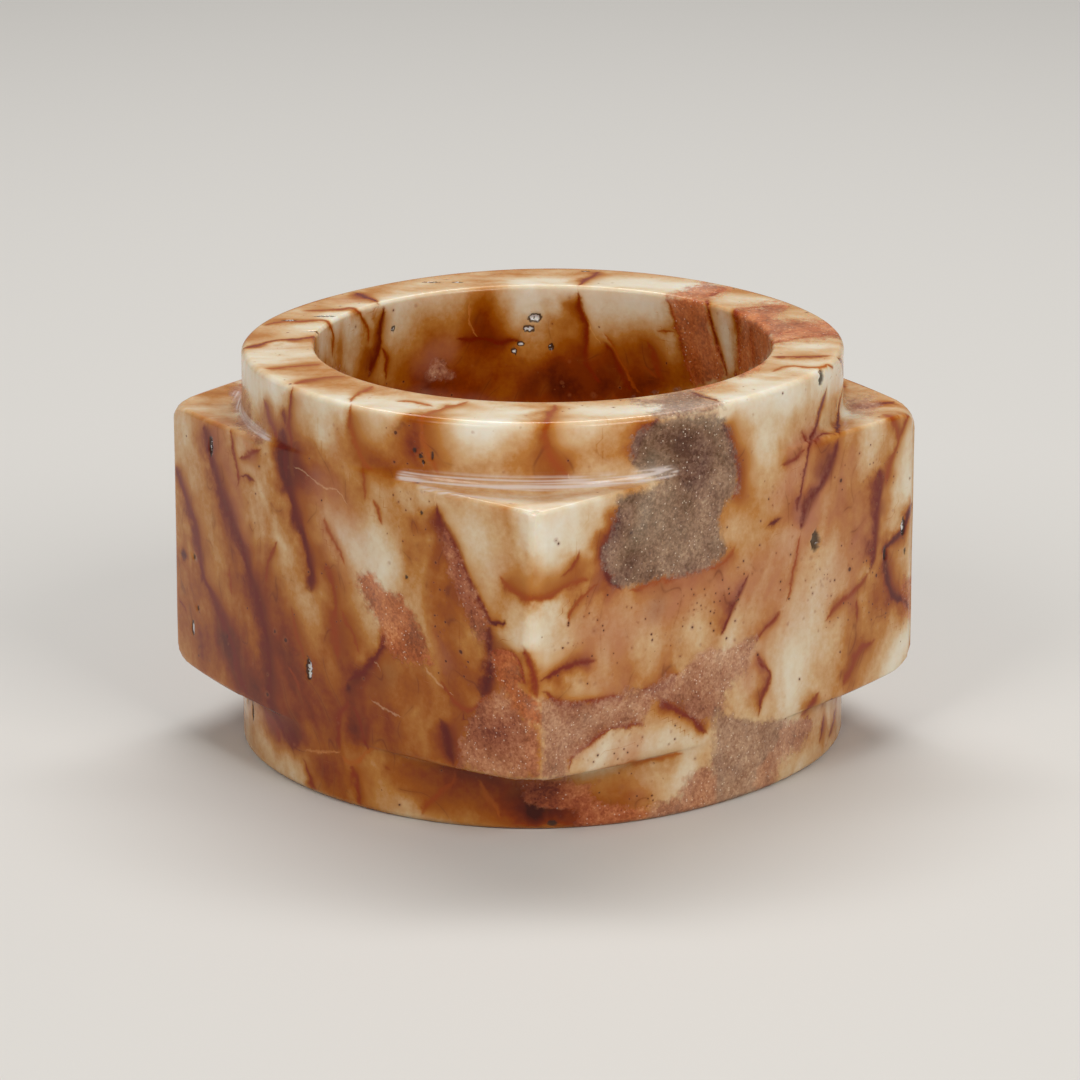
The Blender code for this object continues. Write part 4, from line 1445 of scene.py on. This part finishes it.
# %% [markdown]
# ## The jade
# The material starts with noise. The slow wisps in the stone lie in the same leaning
# sheets as the veins, so their noise is read in the leaning coordinates. Two more noises,
# one wavering and one ragged, are made here once and used many times below.

# %% The noises and the stored fields
jade = bpy.data.materials.new("jade")
jade.use_nodes = True
tree = jade.node_tree
shader = tree.nodes["Principled BSDF"]
texture_place = tree.nodes.new("ShaderNodeTexCoord").outputs["Object"]
place = vector_math(tree, "SCALE", texture_place, scale=1.0 / MM)
leaning = stored(tree, "leaning")

wisps = cloud(tree, leaning, 0.13, 1.0, 0.5)
fine_wisps = cloud(tree, leaning, 0.42, 1.0, 0.5)
ragged_noise = cloud(tree, place, 1.1, 2.0, 0.62)
waver_noise = cloud(tree, place, 0.28, 1.0, 0.5)
ragged = fade(tree, ragged_noise, 0.3, 0.7)
waver = fade(tree, waver_noise, 0.3, 0.7)
softness = plus(tree, times(tree, wisps, 0.65), times(tree, fine_wisps, 0.35))

amber, cream, rust = attribute(tree, "stain")
grained, grain_kind, plum = attribute(tree, "weathering")
specks, deep, rosy = attribute(tree, "marks")

# %% [markdown]
# Iron stains jade along one scale, from white through cream, honey and amber to brown.
# So the base isn't mixed from separate colours. One number says how much iron there is.
# The noise, the brushed fields and the glow of each vein raise or lower it, and a ramp
# turns it into a colour.

# %% The iron scale
BASE_IRON = 0.36
# Through the cream and deep fields the iron also carries painted light: a painted highlight on the near
# corner and painted shade on the foot under the block.
IRON_WEIGHTS = [  # what raises or lowers the iron, and by how much
    (minus(tree, wisps, 0.5), 0.40), (minus(tree, fine_wisps, 0.5), 0.32),
    (minus(tree, ragged_noise, 0.5), 0.16),
    (amber, 0.46), (deep, 0.36), (rust, 0.30), (cream, -0.34),
]
iron = BASE_IRON
for field, weight in IRON_WEIGHTS:
    iron = plus(tree, iron, times(tree, field, weight))
print("the iron is a sum of", len(IRON_WEIGHTS), "fields")

# %% [markdown]
# The veins are read one sheet after another, and each raises the iron further. Of their
# cores only the strongest counts at each place, together with its tone.

# %% The veins
plum_amount = times(tree, plum, 0.9)
core_mask, core_tone = 0.0, 0.5
for sheet in range(SHEETS + HIDDEN_GROUPS):
    kind, number = ("vein", sheet) if sheet < SHEETS else ("hidden", sheet - SHEETS)
    offset, strength, tone = attribute(tree, f"{kind}_place_{number}")
    core_half, right_glow, left_glow = attribute(tree, f"{kind}_width_{number}")
    read = use(
        tree, mineral_vein, Offset=offset, Strength=strength, Tone=tone, Core=core_half,
        Right=right_glow, Left=left_glow, Waver=waver, Ragged=ragged, Iron=iron,
    )
    iron = read["Iron"]
    plum_amount = plus(tree, plum_amount, times(tree, read["Plum"], 0.5))
    stronger = arith(tree, "GREATER_THAN", read["Core mask"], core_mask)
    step = times(tree, stronger, minus(tree, tone, core_tone))
    core_tone = plus(tree, core_tone, step)
    core_mask = arith(tree, "MAXIMUM", core_mask, read["Core mask"])


# %% From iron to colour
def stained(field):
    """A stain's field with an edge made uneven by the wisps."""
    uneven = times(tree, minus(tree, softness, 0.5), 1.3)
    return plus(tree, field, times(tree, uneven, fade(tree, field, 0.0, 0.3)))


def lay(colour, mask, low, high, weight, stain):
    """Lay one stain over the stone."""
    return blend(tree, times(tree, fade(tree, mask, low, high), weight), colour, stain)


colour = ramp(
    tree, iron,
    (0.00, (230, 224, 208)), (0.16, (222, 205, 176)), (0.32, (206, 166, 120)),
    (0.46, (184, 122, 56)), (0.60, (160, 86, 14)), (0.74, (132, 54, 2)),
    (0.88, (98, 34, 4)), (1.0, (66, 20, 4)),
)
colour = lay(colour, stained(rosy), 0.02, 0.9, 0.6, ink(190, 130, 106))
colour = lay(colour, plum_amount, 0.10, 1.0, 0.8, ink(104, 38, 24))

# %% [markdown]
# Between the large veins run hair-thin ones. Where a stretched noise crosses its own
# middle value it draws just such lines, so a narrow band around that value is stained,
# in patches and not everywhere. The cores of the large veins go over them, coloured by
# their tone.

# %% Filaments and the vein cores
THREAD_WIDTH = 0.012
THREAD_GLOW_WIDTH = 0.07
threads = cloud(tree, leaning, 0.26, 1.0, 0.5)
nearness = arith(tree, "ABSOLUTE", minus(tree, threads, 0.5))
thread = inverse(tree, fade(tree, nearness, 0.0, THREAD_WIDTH))
thread_glow = inverse(tree, fade(tree, nearness, 0.0, THREAD_GLOW_WIDTH))
patches = times(tree, fade(tree, iron, 0.34, 0.6), fade(tree, waver_noise, 0.42, 0.62))
colour = blend(tree, times(tree, thread_glow, patches, 0.4), colour, ink(150, 80, 24))
colour = blend(tree, times(tree, thread, patches, 0.45), colour, ink(100, 38, 12))
core_colour = ramp(
    tree, arith(tree, "DIVIDE", plus(tree, core_tone, 0.5), 1.5, clamp=True),
    (0.0, (238, 204, 164)), (0.2, (216, 156, 88)), (0.34, (182, 100, 30)),
    (0.5, (164, 76, 14)), (0.67, (140, 50, 6)), (0.84, (116, 28, 4)),
    (1.0, (86, 20, 10)),
)
colour = blend(tree, core_mask, colour, core_colour)

# %% [markdown]
# Specks and grains come from regular patterns. The places of the specks are warped a
# little, with noises that are there already. The grain hides most of the stain under it.

# %% Specks and grain
WARP = 0.6
SPECKS_EVERYWHERE = 0.05
warp = tree.nodes.new("ShaderNodeCombineXYZ")
for socket, wave in zip(warp.inputs, (ragged_noise, waver_noise, fine_wisps)):
    feed(tree, socket, wave)
warped = vector_math(tree, "ADD", place, vector_math(tree, "SCALE", warp.outputs[0], scale=WARP))
speckled = plus(tree, specks, SPECKS_EVERYWHERE)
for scale, size, share in ((1.3, 0.2, 0.75), (0.5, 0.14, 0.6)):
    spotted = use(
        tree, iron_specks, Stone=colour, Place=warped, Amount=speckled,
        Scale=scale, Size=size, Share=share,
    )
    colour = spotted["Stone"]

rough_edge = times(tree, minus(tree, ragged_noise, 0.5), 0.9)
grain_mask = fade(tree, plus(tree, stained(grained), rough_edge), 0.16, 0.64)
grains = use(tree, weathered_grain, Place=place, Tone=grain_kind, Dark=deep)
colour = blend(tree, times(tree, grain_mask, 0.82), colour, grains["Colour"])

# %% [markdown]
# The coves get a painted highlight: pale streaks that run around the stone, where the
# ledges catch the light. A noise read by radius and height alone makes such streaks. The
# pits are lined with dark dirt, or with silvery mica whose glint is painted in, as their
# vertices say.

# %% Painted highlight in the cove, and what lines the pits
cove_highlight = stored(tree, "cove_highlight", "Fac")
flat_place = vector_math(tree, "MULTIPLY", place, (1.0, 1.0, 0.0))
upright = tree.nodes.new("ShaderNodeSeparateXYZ")
tree.links.new(place, upright.inputs[0])
around = tree.nodes.new("ShaderNodeCombineXYZ")
feed(tree, around.inputs[0], vector_math(tree, "LENGTH", flat_place))
feed(tree, around.inputs[2], upright.outputs[2])
streaks = cloud(tree, around.outputs[0], 3.0, 0.0)
# Painted highlight: the coves drawn pale in streaks, as if lit from above.
cove_highlight_share = times(tree, fade(tree, cove_highlight, 0.05, 0.8), fade(tree, streaks, 0.36, 0.64, 0.15, 0.8))
colour = blend(tree, cove_highlight_share, colour, ink(222, 208, 202))
lining = stored(tree, "pit_lining", "Fac")
colour = lay(colour, lining, 0.12, 0.4, 0.85, ink(52, 40, 34))
# Painted glint: the silvery lining is drawn bright, as mica looks when it catches the light.
silver_glint_share = times(tree, fade(tree, lining, 0.55, 0.8), fade(tree, ragged_noise, 0.42, 0.5))
colour = blend(tree, silver_glint_share, colour, ink(226, 224, 222))

# %% [markdown]
# ## Polish, relief and light inside the stone
# The stone is polished, but the granular patches are duller, and a very fine unevenness
# breaks up the reflections. A little light goes into real jade and comes out warmer
# beside it. Subsurface scattering does that for the render. It is a plain value on the
# shader, and the colours above already hold the warmth without it.

# %% Finish the material
POLISH = 0.16
dull = plus(tree, POLISH, times(tree, ragged, 0.06), times(tree, grain_mask, 0.2))
grit = cloud(tree, place, 2.2, 0.0)
relief = tree.nodes.new("ShaderNodeBump")
feed(tree, relief.inputs["Height"], times(tree, grit, plus(tree, 0.06, times(tree, grained, 0.5))))
feed(tree, relief.inputs["Strength"], 0.35)
feed(tree, relief.inputs["Distance"], 0.12 * MM)
FINISH = {
    "Base Color": colour, "Roughness": dull, "Normal": relief.outputs["Normal"],
    "Metallic": 0.0, "IOR": 1.38, "Subsurface Weight": 0.22,
    "Subsurface Radius": (1.0, 0.42, 0.18), "Subsurface Scale": 4.0 * MM,
}
for label, value in FINISH.items():
    feed(tree, shader.inputs[label], value)
mesh.materials.append(jade)
print("nodes in the jade:", len(tree.nodes))

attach(jade_stone, "root")
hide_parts("jade_cong")

# %% [markdown]
# ## Floor, light and camera
# The stone stands on a plain pale floor in soft studio light. A large area light
# overhead and a little behind draws the bright lines along the rim and the ledges. Two
# weaker ones at the sides show the form of the faces, and a dim world fills the shadows.

# %% The floor
floor_mesh = bpy.data.meshes.new("floor")
slab = bmesh.new()
bmesh.ops.create_grid(slab, x_segments=1, y_segments=1, size=6.0)
slab.to_mesh(floor_mesh)
slab.free()
floor = bpy.data.objects.new("floor", floor_mesh)
bpy.context.scene.collection.objects.link(floor)
paper = bpy.data.materials.new("pale_floor")
paper.use_nodes = True
paper_shader = paper.node_tree.nodes["Principled BSDF"]
paper_shader.inputs["Base Color"].default_value = ink(206, 204, 200)
paper_shader.inputs["Roughness"].default_value = 0.6
floor_mesh.materials.append(paper)


# %% The lights
def soft_light(name, turn, elevation, distance, size, power, tint):
    """A rectangular area light that looks at the stone, turned from the camera's azimuth."""
    data = bpy.data.lights.new(name, "AREA")
    data.shape = "RECTANGLE"
    data.size, data.size_y = size
    data.energy = power
    data.color = tint
    lamp = bpy.data.objects.new(name, data)
    azimuth = CAMERA_AZIMUTH + math.radians(turn)
    lift = math.radians(elevation)
    flat = math.cos(lift)
    towards = Vector((math.sin(azimuth) * flat, -math.cos(azimuth) * flat, math.sin(lift)))
    lamp.location = middle_of_stone + towards * distance
    lamp.rotation_euler = towards.to_track_quat("Z", "Y").to_euler()
    bpy.context.scene.collection.objects.link(lamp)


soft_light("key", 40.0, 36.0, 0.9, (0.36, 0.36), 3.3, (1.0, 0.97, 0.93))
soft_light("fill", -36.0, 38.0, 1.0, (0.36, 0.4), 3.0, (1.0, 0.97, 0.94))
soft_light("overhead", 180.0, 62.0, 0.8, (0.7, 0.16), 4.2, (1.0, 1.0, 1.0))

world = bpy.data.worlds.new("dim_room")
world.use_nodes = True
world.node_tree.nodes["Background"].inputs["Color"].default_value = (1.0, 0.97, 0.93, 1.0)
world.node_tree.nodes["Background"].inputs["Strength"].default_value = 0.26
bpy.context.scene.world = world

# %% The camera
camera_data = bpy.data.cameras.new("camera")
camera_data.sensor_width = SENSOR
camera_data.lens = LENS
camera_data.clip_start = 0.01
camera = bpy.data.objects.new("camera", camera_data)
camera.location = eye
camera.rotation_euler = back.to_track_quat("Z", "Y").to_euler()
bpy.context.scene.collection.objects.link(camera)
bpy.context.scene.camera = camera
bpy.context.scene.view_settings.view_transform = "Standard"
